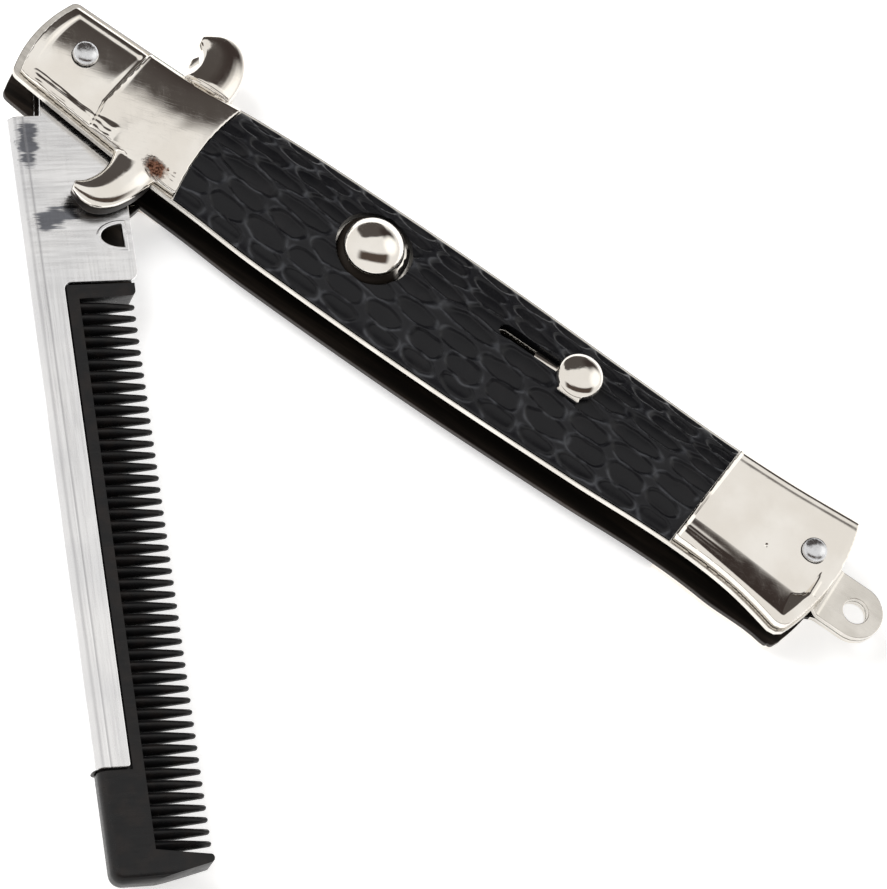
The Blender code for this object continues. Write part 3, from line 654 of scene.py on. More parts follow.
def make_head_bolster(side, look, shade_look):
    name = on_side(side, "head_bolster")
    outline, ends = cap_outline()
    bm = bmesh.new()
    lid = prism(bm, outline, SEAT_Z, BOLSTER_TOP)
    collar_rim = at(COLLAR_END, 0, 0).x - 1e-6
    rim = [edge for edge in lid.edges if min(vert.co.x for vert in edge.verts) < collar_rim]
    round_edges(bm, rim + upright_edges(bm, ends), 1.5, 8)
    bolster = put(name + "_blank", bm)
    below = bmesh.new()
    prism(below, liner_outline(side)[0], SEAT_Z - 3, SEAT_Z)
    helpers = [
        combine(bolster, name + "_horns", horns(0), "UNION"),
        combine(bolster, name + "_under", below),
        combine(bolster, name + "_hollows", horns(SHEET)),
        combine(bolster, name + "_punch", rivet_hole(0)),
    ]
    bm = drawn_skin(bolster, helpers, SKIN_STEP, 5)
    for vert in bm.verts:
        x, y, z = on_handle(vert.co)
        pressed = blend(SEAT_Z + 0.3, BOLSTER_TOP - 0.1, z)
        above, below = y - handle_edge(x, "top"), handle_edge(x, "bottom") - y
        relief = cap_relief(x, y) * pressed * (1 - blend(-0.6, 0.4, max(above, below)))
        horn_foot = blend(-0.45, -0.1, above)
        dome = (cap_dome(x, y) - 1) * (1 - horn_foot) * (1 - blend(0.0, 2.2, below)) - 0.2 * horn_foot
        dome *= max(0.0, z - SEAT_Z)
        if vert.normal.z > -0.2:
            vert.co.z += (relief + dome) * MM
        vert.co.z -= UPPER_HORN_DROOP * max(0.0, above - 0.4) * MM
    bmesh.ops.recalc_face_normals(bm, faces=bm.faces)
    for face in bm.faces:
        # Painted shade: the lower horn's hollow and the walls by it take the dark steel.
        x, y, z = on_handle(face.calc_center_median())
        if z < SHADE_WALL_TOP and face.normal.z < 0.3 and y < handle_edge(x, "bottom"):
            face.material_index = 1
    if side == BACK:
        turn_over(bm)
    made = finish_piece(name + "_pressing", bm, look, "handle", name, 60)
    made.data.materials.append(shade_look)
    return made


def tail_outline(side):
    start_top, start_bottom = bolster_edges(100)
    top_corner = tail_corner("top", INSET_TOP, INSET_TAIL, side)
    bottom_corner = tail_corner("bottom", INSET_BOTTOM, INSET_TAIL, side)
    outline = edge_run(tail_start(start_top), top_corner[0], "top", INSET_TOP, 12)
    outline += end_run(tail_end, top_corner[1], bottom_corner[1], -INSET_TAIL, 11)[1:-1]
    outline += edge_run(bottom_corner[0], tail_start(start_bottom), "bottom", INSET_BOTTOM, 12, side)
    return outline, [top_corner, bottom_corner]


def tail_relief(x, y):
    """How far the tail's pressed face stands above or below its plain height, in millimetres."""
    slope_top = -5.25 - 0.055 * (x - 101)
    down = max(0.0, slope_top - y)
    from_end = tail_end(y) - INSET_TAIL - x

    # A trough deepens towards the lower edge, rises again below its slope, and stops at a rib by the end.
    depth = 0.74 + 0.022 * (x - 101)
    rise = 0.16 * down**1.3
    rise -= (0.07 * hill(down - 1.8, 0.35) - 0.04 * hill(down - 2.5, 0.3)) * (1 - blend(102.5, 110.0, x))
    wall = 0.8 + 1.4 * blend(-0.6, 0.8, slope_top - y)
    rib = depth * (1 - blend(1.4, 1.4 + wall, from_end))
    sunk = max(0.0, min(1.0, (-1.6 - y) / 3.8))
    relief = -0.05 - max(0.0, depth * sunk**1.2 - max(rise, rib))

    # The worn end, the groove by the top edge, the lip beside the scale, a dent and a short pressed line.
    relief -= 0.06 * (1 - blend(0.0, 1.3, from_end))
    relief -= 0.06 * hill(bolster_edges(x)[0] - y - 1.2, 0.4)
    relief += 0.2 * (1 - blend(0.2, 0.55, x - tail_start(y)))
    relief -= 0.16 * hill(math.hypot(x - 109.9, y + 3.1), 0.2)
    relief -= 0.06 * hill(x - 118.7, 0.28) * blend(-5.7, -5.3, y) * (1 - blend(-3.1, -2.7, y))
    return relief + 0.012 * noise.noise(Vector((x * 0.4, y * 0.4, 2.0)))


def tail_dome(x, y):
    """The pressed face's share of its full height, less towards its top edge."""
    peak = 0.5
    if y < peak:
        return 1
    return 1 - 0.48 * (1 - max(0.0, 1 - across_share(x, y, peak) ** 18) ** 0.75)


def make_tail_bolster(side, look):
    name = on_side(side, "tail_bolster")
    outline, corners = tail_outline(side)
    bm = bmesh.new()
    lid = prism(bm, outline, SEAT_Z, BOLSTER_TOP)
    start = at(101.4, 0, 0).x
    rim = [edge for edge in lid.edges if max(vert.co.x for vert in edge.verts) > start]
    round_edges(bm, rim + upright_edges(bm, corners), 1.1, 6)
    bolster = put(name + "_blank", bm)
    punch = combine(bolster, name + "_punch", rivet_hole(RIVET_SPACING))
    bm = drawn_skin(bolster, [punch], SKIN_STEP, 3)
    for vert in bm.verts:
        x, y, z = on_handle(vert.co)
        share = blend(SEAT_Z + 0.3, BOLSTER_TOP - 0.1, z)
        dome = (z - SEAT_Z) * (tail_dome(x, y) - 1)
        vert.co.z += (tail_relief(x, y) * share + dome) * MM
    ease_tail_corner(bm, INSET_BOTTOM, INSET_TAIL, side)
    if side == BACK:
        turn_over(bm)
    return finish_piece(name + "_pressing", bm, look, "handle", name, 60)


# Scales

Row = namedtuple("Row", "y half_height first pitch half_length")
ROWS = (
    Row(6.9, 0.9, 24.6, 6.1, 3.0),
    Row(5.2, 1.05, 24.0, 6.2, 3.05),
    Row(3.4, 1.15, 27.4, 7.0, 3.6),
    Row(1.3, 1.3, 29.9, 8.6, 4.5),
    Row(-1.25, 1.4, 26.6, 8.8, 4.5),
    Row(-4.0, 1.45, 28.0, 6.8, 3.65),
    Row(-6.7, 1.5, 26.9, 6.25, 3.35),
    Row(-9.15, 1.2, 28.2, 6.15, 3.1),
)
Dimple = namedtuple("Dimple", "x y half_length half_height depth")


def jigging(seed):
    """The dimples of one scale, in rows, each a little different as if cut by hand."""
    dice = random.Random(seed)
    found = []
    for row in ROWS:
        x = row.first - 2 * row.pitch
        while x < 104:
            length = row.half_length * dice.uniform(0.86, 1.08)
            height = row.half_height * dice.uniform(0.88, 1.06)
            y = row.y + dice.uniform(-0.14, 0.14)
            found.append(Dimple(x + dice.uniform(-0.35, 0.35), y, length, height, dice.uniform(0.2, 0.3)))
            x += row.pitch
    return found


def scale_relief(x, y, dimples):
    """The height at a point between crisply rimmed dimples, and how strong a rim's painted highlight is
    there.
    """
    wander = 0.2 * noise.noise(Vector((x * 0.5, y * 0.7, 1.0)))
    depth = lip = pale_lift = 0.0
    for dimple in dimples:
        dx = (x - dimple.x) / dimple.half_length
        dy = (y - dimple.y) / dimple.half_height + 0.12 * dx
        reach = (abs(dx) ** 2.3 + abs(dy) ** 2.1) ** 0.46 + wander
        if reach < 1.35:
            floor = 1 - 0.3 * (1 - min(reach / 0.8, 1.0) ** 2)
            depth = max(depth, dimple.depth * floor * (1 - blend(0.72, 1.0, reach)))
            lip = max(lip, 0.03 * hill(reach - 1.02, 0.1))
            # The painted highlight lies on a rim's lower side and on its ends.
            low_side = max(1 - blend(-0.6, 0.1, dy), 0.8 * blend(0.6, 0.95, abs(dx)))
            pale_lift = max(pale_lift, low_side * hill(reach - 0.95, 0.09))
    return lip - depth, pale_lift


def even_across(count, half, rise):
    """Places across the scale that are evenly spaced along its curved section."""
    fine = 2000
    places = spaced(-1, 1, fine)
    lengths = [0.0]
    for low, high in zip(places, places[1:]):
        climb = rise * (section_rise(high) - section_rise(low))
        lengths.append(lengths[-1] + math.hypot(half * (high - low), climb))
    found = []
    index = 0
    for step in range(count):
        wanted = lengths[-1] * step / (count - 1)
        while index < fine and lengths[index + 1] < wanted:
            index += 1
        span = lengths[min(index + 1, fine)] - lengths[index] or 1.0
        share = min(1.0, (wanted - lengths[index]) / span)
        found.append(places[index] + (places[min(index + 1, fine)] - places[index]) * share)
    return found


def make_scale(side, look):
    name = on_side(side, "scale")
    columns, rows, half_width = 520, 132, 8.8
    across = even_across(rows + 1, half_width, SCALE_TOP - SEAT_Z)
    bm = bmesh.new()
    bmesh.ops.create_grid(bm, x_segments=columns, y_segments=rows, size=1.0)
    dimples = jigging(7 if side == FRONT else 19)
    relief = bm.verts.layers.float.new("relief")
    painted_rim_highlight = bm.verts.layers.float.new("painted_rim_highlight")
    near = {}
    for dimple in dimples:
        for cell in range(int(dimple.x - 6), int(dimple.x + 7)):
            near.setdefault(cell, []).append(dimple)
    for vert in bm.verts:
        along = (vert.co.x + 1) / 2
        w = across[round((vert.co.y + 1) / 2 * rows)]
        y = -1.5 + 8.6 * w  # a first guess
        for _ in range(2):
            start, end = collar_end(y) + SCALE_GAP, tail_start(y) - SCALE_GAP
            x = start + (end - start) * along
            top = handle_edge(x, "top") - SCALE_INSET_TOP
            bottom = handle_edge(x, "bottom") + SCALE_INSET_BOTTOM
            y = (top + bottom) / 2 + (top - bottom) / 2 * w
        row_y = y * 0.5 + 0.5 * (-1.35 + 8.85 * w)  # the rows follow the edges halfway
        depth, pale_lift = scale_relief(x, row_y, near.get(int(x), ()))
        end_fade = blend(0.0, 0.7, min(x - start, end - x))
        rise = (SCALE_TOP - 0.05 - SEAT_Z) * section_rise(w) * (0.93 + 0.07 * end_fade)
        depth *= blend(0.02, 0.3, section_rise(w)) * (0.35 + 0.65 * end_fade)
        slope = abs(w) ** 4
        vert.co = at(x, y - math.copysign(slope * abs(depth) * 0.8, w), SEAT_Z + rise + depth)
        vert[relief] = depth
        vert[painted_rim_highlight] = pale_lift
    rim = [edge for edge in bm.edges if edge.is_boundary]
    wall = bmesh.ops.extrude_edge_only(bm, edges=rim)
    lowered = [item for item in wall["geom"] if isinstance(item, bmesh.types.BMVert)]
    for vert in lowered:
        vert.co.z = SEAT_Z * MM - 2e-5
    foot = [item for item in wall["geom"] if isinstance(item, bmesh.types.BMEdge) and item.is_boundary]
    bmesh.ops.contextual_create(bm, geom=foot)
    if side == FRONT:
        scale = put(name + "_blank", bm)
        cuts = bmesh.new()
        drum(cuts, BUTTON_X, BUTTON_Y, BUTTON_HOLE_R, SEAT_Z - 1, SCALE_TOP + 1, 72)
        prism(cuts, slot_outline(14), SEAT_Z - 1, SCALE_TOP + 1)
        bm = settle(scale, [combine(scale, name + "_cutter", cuts)])
    else:
        turn_over(bm)
    return finish_piece(name + "_jigged", bm, look, "handle", name, 55)


# Rivets, button and slider


def make_rivet(name, x, look):
    cap_seat = BOLSTER_TOP + 0.2 - (CAP_DROP if x == 0 else 0)
    peened = 2 * MID_Z - cap_seat
    profile = [(0, 0.05), (RIVET_HEAD_R * 0.6, 0.05), (RIVET_HEAD_R * 0.88, 0.16)]
    profile += [(RIVET_HEAD_R, peened * 0.5), (RIVET_HEAD_R, peened), (RIVET_SHANK_R, peened)]
    profile += [(RIVET_SHANK_R, cap_seat), (RIVET_HEAD_R, cap_seat)]
    profile += domed(RIVET_HEAD_R, cap_seat, cap_seat + RIVET_HEAD_RISE, 0.8, range(8, 90, 9))
    bm = bmesh.new()
    spun(bm, x, 0, profile, 56)
    return finish_piece(name + "_head", bm, look, "handle", name, 50)


def make_button(look):
    """The dome sits half a millimetre low on its skirt, so the sloping skirt shows beside it."""
    profile = [(0, BUTTON_STEM_LOW), (BUTTON_STEM_R - 0.15, BUTTON_STEM_LOW)]
    profile += [(BUTTON_STEM_R, BUTTON_STEM_LOW + 0.15), (BUTTON_STEM_R, BUTTON_SKIRT_LOW)]
    profile += [(BUTTON_SKIRT_R - 0.1, BUTTON_SKIRT_LOW), (BUTTON_SKIRT_R, BUTTON_SKIRT_LOW + 0.1)]
    for share in spaced(0, 1, 6):
        profile.append((BUTTON_SKIRT_R - 0.95 * share, BUTTON_SKIRT_LOW + 0.25 + 0.75 * share**0.8))
    steep = math.radians(BUTTON_RIM_SLOPE)
    inner = BUTTON_DOME_R - BUTTON_FILLET
    ball = (inner + BUTTON_FILLET * math.sin(steep)) / math.sin(steep)
    middle = BUTTON_DOME_TOP - ball
    seat = middle + (ball - BUTTON_FILLET) * math.cos(steep)
    profile += [(BUTTON_DOME_R, BUTTON_SKIRT_HIGH), (BUTTON_DOME_R, seat - 0.6)]
    for turn in spaced(math.pi / 2, steep, 6):
        profile.append((inner + BUTTON_FILLET * math.sin(turn), seat + BUTTON_FILLET * math.cos(turn)))
    for turn in spaced(steep, 0, 16)[1:-1]:
        profile.append((ball * math.sin(turn), middle + ball * math.cos(turn)))
    profile.append((0, BUTTON_DOME_TOP))
    bm = bmesh.new()
    spun(bm, BUTTON_X, BUTTON_Y, profile, 96)
    shift = Vector(BUTTON_DOME_SHIFT) * MM
    for vert in bm.verts:
        vert.co += shift * blend(BUTTON_SKIRT_HIGH, BUTTON_SKIRT_HIGH + 0.4, vert.co.z / MM)
    return finish_piece("push_button_dome", bm, look, "button", "push_button", 50)


def make_slider(look):
    profile = [(0, SLIDER_HEAD_LOW), (SLIDER_HEAD_R - 0.15, SLIDER_HEAD_LOW)]
    profile.append((SLIDER_HEAD_R, SLIDER_HEAD_LOW + 0.15))
    side_low, crown = SLIDER_HEAD_LOW + 0.3, SLIDER_HEAD_LOW + SLIDER_HEAD_RISE
    profile += domed(SLIDER_HEAD_R, side_low, crown, 0.9, range(10, 90, 8))
    bm = bmesh.new()
    spun(bm, SLIDER_X, SLIDER_Y, profile, 64)
    head = put("safety_slider_blank", bm)

    half = SLIDER_TAB_HALF_WIDTH
    tab = [(SLIDER_X - half, SLIDER_TAB_Y), (SLIDER_X + half, SLIDER_TAB_Y)]
    tab += [(SLIDER_X + half - 0.12, SLIDER_TAB_Y + 0.5), (SLIDER_X + half + 0.3, SLIDER_Y - 1.8)]
    tab += [(SLIDER_X - half - 0.3, SLIDER_Y - 1.8), (SLIDER_X - half + 0.12, SLIDER_TAB_Y + 0.5)]
    foot = bmesh.new()
    prism(foot, tab, SLIDER_HEAD_LOW + 0.02, SLIDER_HEAD_LOW + 0.62)
    foot_piece = combine(head, "safety_slider_foot", foot, "UNION")
    top = put("safety_slider_top", drawn_skin(head, [foot_piece], 0.11, 2))

    low, high = SLIDER_Y - 0.6, SLIDER_Y + 0.6
    stem = bmesh.new()
    block = [(SLIDER_X - 1.5, low), (SLIDER_X + 1.5, low), (SLIDER_X + 1.5, high), (SLIDER_X - 1.5, high)]
    prism(stem, block, LINER_IN + 0.1, SLIDER_HEAD_LOW + 0.3)
    strip = [(SLIDER_TONGUE_X, low), (SLIDER_X, low), (SLIDER_X, high), (SLIDER_TONGUE_X, high)]
    prism(stem, strip, SEAT_Z + 0.3, SEAT_Z + 0.8)
    stem_piece = put("safety_slider_stem", stem)
    change(stem_piece, "BEVEL", width=0.06 * MM, segments=2, limit_method="ANGLE")
    change(top, "BOOLEAN", operation="UNION", solver="EXACT", object=stem_piece, use_self=True)
    bm = settle(top, [stem_piece])
    return finish_piece("safety_slider_thumb", bm, look, "slider", "safety_slider", 50)


# The comb and its holder


def holder_outline():
    start = math.degrees(math.asin(HOLDER_NECK / (EYE_R + 0.6)))
    outline = [(HOLDER_SHOULDER, HOLDER_NECK), (HOLDER_SHOULDER, HOLDER_SPINE), (HOLDER_END, HOLDER_SPINE)]
    outline += arc(HOLDER_END - 0.4, HOLDER_STRIP_EDGE - 0.4, 0.4, 0, 90, 4)
    outline += arc(HOLDER_WINDOW + 1.0, HOLDER_STRIP_EDGE + 1.0, 1.0, 270, 180, 8)
    outline += arc(HOLDER_WINDOW - 1.2, HOLDER_TANG_EDGE - 1.2, 1.2, 0, 90, 8)
    outline += [(8.5, HOLDER_TANG_EDGE)]
    outline += arc(0, 0, EYE_R, 50, 360 + start, 48)
    return outline


def dee_outline(grow, steps):
    """The D-shaped hole of the tang, with its straight side towards the tang's edge."""
    outline = [(DEE_ALONG + DEE_R + grow, DEE_ACROSS + grow), (DEE_ALONG - DEE_R - grow, DEE_ACROSS + grow)]
    for along, across in arc(DEE_ALONG, DEE_ACROSS, DEE_R + grow, 180, 360, steps)[1:-1]:
        outline.append((along, DEE_ACROSS + (across - DEE_ACROSS) * (DEE_DEPTH + grow) / (DEE_R + grow)))
    return outline


def make_holder(look, inside_shade_look):
    half = HOLDER_THICK / 2
    bm = bmesh.new()
    prism(bm, holder_outline(), -half, half)
    spine = HOLDER_SPINE * MM + 1e-6
    fold = [edge for edge in bm.edges if is_level(edge) and all(vert.co.y < spine for vert in edge.verts)]
    round_edges(bm, fold, HOLDER_FOLD_R, 10)
    holder = put("comb_holder_blank", bm)

    lip = bmesh.new()
    prism(lip, dee_outline(0.5, 20), half - 0.3, half + 0.25)
    round_edges(lip, [edge for edge in sharp_edges(lip, 50) if edge.calc_length() < 4 * MM], 0.1, 2)
    helpers = [combine(holder, "comb_holder_lip", lip, "UNION")]

    inside = bmesh.new()
    gap = half - SHEET
    box = [(-12, HOLDER_SPINE + SHEET), (110, HOLDER_SPINE + SHEET), (110, 12), (-12, 12)]
    prism(inside, box, -gap, gap)
    round_edges(inside, [edge for edge in sharp_edges(inside, 50) if edge.verts[0].co.y < -10 * MM], 1.2, 6)
    helpers.append(combine(holder, "comb_holder_hollow", inside))

    holes = bmesh.new()
    drum(holes, 0, 0, EYE_HOLE_R, -half - 1, half + 1, 40)
    prism(holes, dee_outline(0, 20), 0, half + 1)
    helpers.append(combine(holder, "comb_holder_punch", holes))
    change(holder, "BEVEL", width=0.1 * MM, segments=2, limit_method="ANGLE", angle_limit=math.radians(45))
    bm = settle(holder, helpers)
    for across in (HOLDER_SPINE + HOLDER_FOLD_R + 0.1, HOLDER_SPINE + SHEET + 1.3):
        slice_at(bm, (0, across * MM, 0), (0, 1, 0))
    # Painted shade: the faces inside the folded sheet take the dark steel.
    for face in bm.faces:
        place = face.calc_center_median() / MM
        if abs(place.z) < gap + 0.05 and place.y > HOLDER_SPINE + SHEET - 0.05:
            face.material_index = 1
    swing_open(bm)
    made = finish_piece("comb_holder_sheet", bm, look, "comb", "comb_holder", 20)
    made.data.materials.append(inside_shade_look)
    return made


def tooth_section(along, across, half_width, half_depth):
    """A rounded diamond across one tooth."""
    found = []
    for wide, deep in arc(0, 0, 1, 0, 360, 12)[:-1]:
        ease = (abs(wide) ** 1.5 + abs(deep) ** 1.5) ** (-1 / 1.5)
        found.append(at(along + half_width * wide * ease, across, half_depth * deep * ease))
    return found


def make_comb(look):
    half = COMB_THICK / 2
    back = HOLDER_STRIP_EDGE + COMB_GAP
    head = HOLDER_WINDOW + COMB_GAP
    first_root = TOOTH_FIRST - 0.7
    last_root = TOOTH_LAST + 0.8
    outline = [(head, back), (HOLDER_END + COMB_GAP, back), (HOLDER_END + COMB_GAP, COMB_SPINE)]
    outline += arc(COMB_TIP - 1.7, COMB_SPINE + 1.7, 1.7, 270, 360, 10)
    outline += [(COMB_TIP, -5.1)]
    outline += arc(COMB_TIP - 2.4, TOOTH_TIP - 0.8, 0.6, 10, 150, 10)
    outline += [(last_root, COMB_ROOT), (first_root - 0.1, COMB_ROOT)]
    outline += arc(head + 1.0, TOOTH_TIP - 0.8, 0.8, 20, 90, 8)
    outline += [(head, TOOTH_TIP)]
    bm = bmesh.new()
    prism(bm, outline, -half, half)
    tip_side, beside_finger = at(HOLDER_END + 2, -5.0, 0).xy
    rim = [
        edge for edge in sharp_edges(bm, 60)
        if is_level(edge) and max(vert.co.x for vert in edge.verts) > tip_side
        and all(vert.co.y < beside_finger for vert in edge.verts)
    ]
    round_edges(bm, rim, 1.3, 7)
    finger = [
        edge for edge in sharp_edges(bm, 60)
        if all(vert.co.x > tip_side and vert.co.y > beside_finger for vert in edge.verts)
    ]
    round_edges(bm, finger, 0.35, 3)
    comb = put("comb_blank", bm)

    core = bmesh.new()
    low, high = HOLDER_SPINE + SHEET + COMB_GAP, back + 0.5
    strip = [(head, low), (HOLDER_END + 1, low), (HOLDER_END + 1, high), (head + 0.3, high)]
    prism(core, strip, -COMB_CORE_THICK / 2, COMB_CORE_THICK / 2)
    helpers = [combine(comb, "comb_core", core, "UNION")]

    teeth = bmesh.new()
    shape = (
        (COMB_ROOT - 0.9, 0.785, 1.78), (COMB_ROOT, 0.78, 1.76), (COMB_ROOT + 2.4, 0.755, 1.6),
        (-0.8, 0.71, 1.45), (0.5, 0.6, 1.12), (TOOTH_TIP - 1.0, 0.46, 0.72),
        (TOOTH_TIP - 0.35, 0.4, 0.58), (TOOTH_TIP - 0.1, 0.28, 0.4), (TOOTH_TIP, 0.1, 0.15),
    )
    for along in spaced(TOOTH_FIRST, TOOTH_LAST, TOOTH_COUNT - 1):
        loft(teeth, [tooth_section(along, *section) for section in shape])
    helpers.append(combine(comb, "comb_teeth_blank", teeth, "UNION"))
    bm = settle(comb, helpers)
    swing_open(bm)
    return finish_piece("comb_moulding", bm, look, "comb", "comb_teeth", 40)


# Finishes


class Amount:
    """A shader value that sums and products can be written with."""

    def __init__(self, nodes, socket):
        self.nodes = nodes
        self.socket = socket

    def reckon(self, operation, *values):
        return self.nodes.node("ShaderNodeMath", {"operation": operation}, dict(enumerate(values)))

    def __add__(self, other):
        return self.reckon("ADD", self, other)

    def __radd__(self, other):
        return self.reckon("ADD", other, self)

    def __sub__(self, other):
        return self.reckon("SUBTRACT", self, other)

    def __rsub__(self, other):
        return self.reckon("SUBTRACT", other, self)

    def __mul__(self, other):
        return self.reckon("MULTIPLY", self, other)

    def __rmul__(self, other):
        return self.reckon("MULTIPLY", other, self)


class Nodes:
    """A shader's nodes."""

    def __init__(self, tree):
        self.tree = tree

    def node(self, kind, settings=None, inputs=None, output=0):
        """Makes any node: its settings first, then its sockets' values or links."""
        made = self.tree.nodes.new(kind)
        for key, value in (settings or {}).items():
            setattr(made, key, value)
        for key, value in (inputs or {}).items():
            if isinstance(value, Amount):
                self.tree.links.new(value.socket, made.inputs[key])
            else:
                made.inputs[key].default_value = value
        return Amount(self, made.outputs[output])

    def between(self, value, low, high, to_low=0.0, to_high=1.0):
        """A smooth step from one amount to another while the value goes from low to high."""
        return self.node(
            "ShaderNodeMapRange", {"interpolation_type": "SMOOTHSTEP"},
            {"Value": value, "From Min": low, "From Max": high, "To Min": to_low, "To Max": to_high},
        )

    def mix(self, share, *colours):
        first, second = (each if isinstance(each, Amount) else (*each, 1.0) for each in colours)
        return self.node("ShaderNodeMix", {"data_type": "RGBA"}, {0: share, 6: first, 7: second}, 2)


class Finish(Nodes):
    """One material in the making."""

    def __init__(self, name, **constants):
        self.material = bpy.data.materials.new(name)
        self.material.use_nodes = True
        super().__init__(self.material.node_tree)
        self.shader = self.tree.nodes["Principled BSDF"]
        for key, value in constants.items():
            self.shader.inputs[key.replace("_", " ")].default_value = value
        self.place = self.node("ShaderNodeTexCoord", output="Object")

    def feed(self, key, value):
        self.tree.links.new(value.socket, self.shader.inputs[key])

    def fed(self, key):
        """What the finish already feeds to a socket."""
        return Amount(self, self.shader.inputs[key].links[0].from_socket)

    def turned(self, scale, angle=0.0):
        """The object's coordinates, turned about Z and stretched."""
        inputs = {"Vector": self.place, "Rotation": (0, 0, angle)}
        turned = self.node("ShaderNodeMapping", {"vector_type": "TEXTURE"}, inputs)
        return self.node("ShaderNodeVectorMath", {"operation": "MULTIPLY"}, {0: turned, 1: scale})

    def grain(self, per_metre, where=None, detail=2.0, roughness=0.5):
        """Cloudy noise with its middle at 0.5."""
        return self.node(
            "ShaderNodeTexNoise", None,
            {"Vector": where or self.place, "Scale": per_metre, "Detail": detail, "Roughness": roughness},
        )

    def distance(self, point, stretch=(1, 1, 1)):
        """How far a point of the surface lies from the given one, in metres."""
        apart = self.node("ShaderNodeVectorMath", {"operation": "SUBTRACT"}, {0: self.place, 1: tuple(point)})
        scaled = self.node("ShaderNodeVectorMath", {"operation": "MULTIPLY"}, {0: apart, 1: stretch})
        return self.node("ShaderNodeVectorMath", {"operation": "LENGTH"}, {0: scaled}, output="Value")

    def relief(self, height, depth, strength=1.0, below=None):
        """A bump whose full height is the given number of millimetres."""
        inputs = {"Height": height, "Distance": depth * MM, "Strength": strength}
        if below:
            inputs["Normal"] = below
        return self.node("ShaderNodeBump", None, inputs)


def scratches(finish, per_metre, angle):
    """Fine straight marks in one direction."""
    lines = finish.grain(per_metre, finish.turned((1 / 14, 1, 1), angle), 3.0, 0.65)
    return finish.between(lines, 0.52, 0.7)


def bright_nickel():
    finish = Finish("bright_nickel", Metallic=1.0)
    cloud = finish.grain(160, detail=3.0)
    smear = finish.grain(700, finish.turned((1, 0.45, 1), 0.5), 4.0)
    marks = scratches(finish, 5200, 0.35) + scratches(finish, 4300, -0.9)
    clouded = finish.between(cloud, 0.35, 0.75)
    finish.feed("Base Color", finish.mix(clouded, (0.85, 0.81, 0.75), (0.93, 0.90, 0.85)))
    finish.feed("Roughness", 0.05 + 0.06 * finish.between(smear, 0.4, 0.7) + 0.05 * marks)
    wave = finish.relief(finish.grain(210, detail=1.0), 0.05)
    fine = finish.relief(marks, 0.002, 0.4, wave)
    finish.feed("Normal", fine)
    return finish


def head_nickel():
    """The head bolsters' nickel: crinkled and rusted through at the lower root of the guard."""
    finish = bright_nickel()
    finish.material.name = "head_bolster_nickel"
    edge = 0.0011 * finish.grain(1300, detail=4.0, roughness=0.6)
    spots = []
    front_z = 11.4
    for z in (front_z, 2 * MID_Z - front_z):
        for x, y, radius in ((16.2, -8.1, 2.0), (17.6, -7.2, 0.9), (18.6, -7.1, 0.7)):
            apart = finish.distance(at(x, y, z), (0.8, 1.1, 1)) + edge
            spots.append(finish.between(apart, 0.75 * radius * MM, 1.15 * radius * MM, 1.0, 0.0))
    rust = sum(spots)
    speckle = finish.grain(3200, detail=3.0, roughness=0.6)
    browns = finish.mix(finish.between(speckle, 0.4, 0.62), (0.05, 0.022, 0.014), (0.30, 0.15, 0.10))
    finish.feed("Base Color", finish.mix(rust, finish.fed("Base Color"), browns))
    finish.feed("Roughness", finish.fed("Roughness") + 0.4 * rust)
    finish.feed("Normal", finish.relief(rust * speckle, 0.08, 1.0, finish.fed("Normal")))
    return finish.material


def button_nickel():
    """The button's nickel, with painted shade round its low skirt, left off on its side towards the tail and
    the top edge.
    """
    finish = bright_nickel()
    finish.material.name = "button_nickel"
    finish.shader.inputs["Specular IOR Level"].default_value = 0.1
    # Painted shade on the low skirt, darker and less metallic, faded out near the lit side.
    height = finish.node("ShaderNodeSeparateXYZ", None, {"Vector": finish.place}, output="Z")
    low = finish.between(height, 12.1 * MM, 12.4 * MM, 1.0, 0.0)
    from_lit_side = finish.distance(at(BUTTON_X + 5.2, BUTTON_Y + 1.6, 0), (1, 0.7, 0))
    skirt_shade = low * finish.between(from_lit_side, 1.7 * MM, 2.6 * MM)
    finish.feed("Base Color", finish.mix(skirt_shade, finish.fed("Base Color"), (0.02, 0.016, 0.013)))
    finish.feed("Metallic", 1 - 0.9 * skirt_shade)
    finish.feed("Roughness", finish.fed("Roughness") + 0.3 * skirt_shade)
    return finish.material


def liner_steel():
    finish = Finish("liner_steel", Metallic=1.0)
    rolled = finish.grain(900, finish.turned((0.05, 1, 3)), 4.0, 0.6)
    clouded = finish.between(finish.grain(240, detail=3.0), 0.35, 0.7)
    finish.feed("Base Color", finish.mix(clouded, (0.70, 0.67, 0.62), (0.82, 0.79, 0.74)))
    finish.feed("Roughness", 0.16 + 0.14 * finish.between(rolled, 0.35, 0.7))
    finish.feed("Normal", finish.relief(rolled, 0.02, 0.6))
    return finish.material


def painted_shade_steel():
    """Painted shade: a dark steel for the faces inside the channel, and for shaded walls and rims elsewhere.
    """
    finish = Finish("painted_shade_steel", Metallic=0.6)
    rolled = finish.grain(700, finish.turned((0.06, 1, 1)), 4.0, 0.6)
    # The painted shade is mottled in faint streaks.
    painted_dark_mix = finish.between(rolled, 0.4, 0.75)
    finish.feed("Base Color", finish.mix(painted_dark_mix, (0.016, 0.013, 0.011), (0.05, 0.038, 0.03)))
    finish.feed("Roughness", 0.3 + 0.2 * rolled)
    finish.feed("Normal", finish.relief(rolled, 0.02, 0.6))
    return finish.material


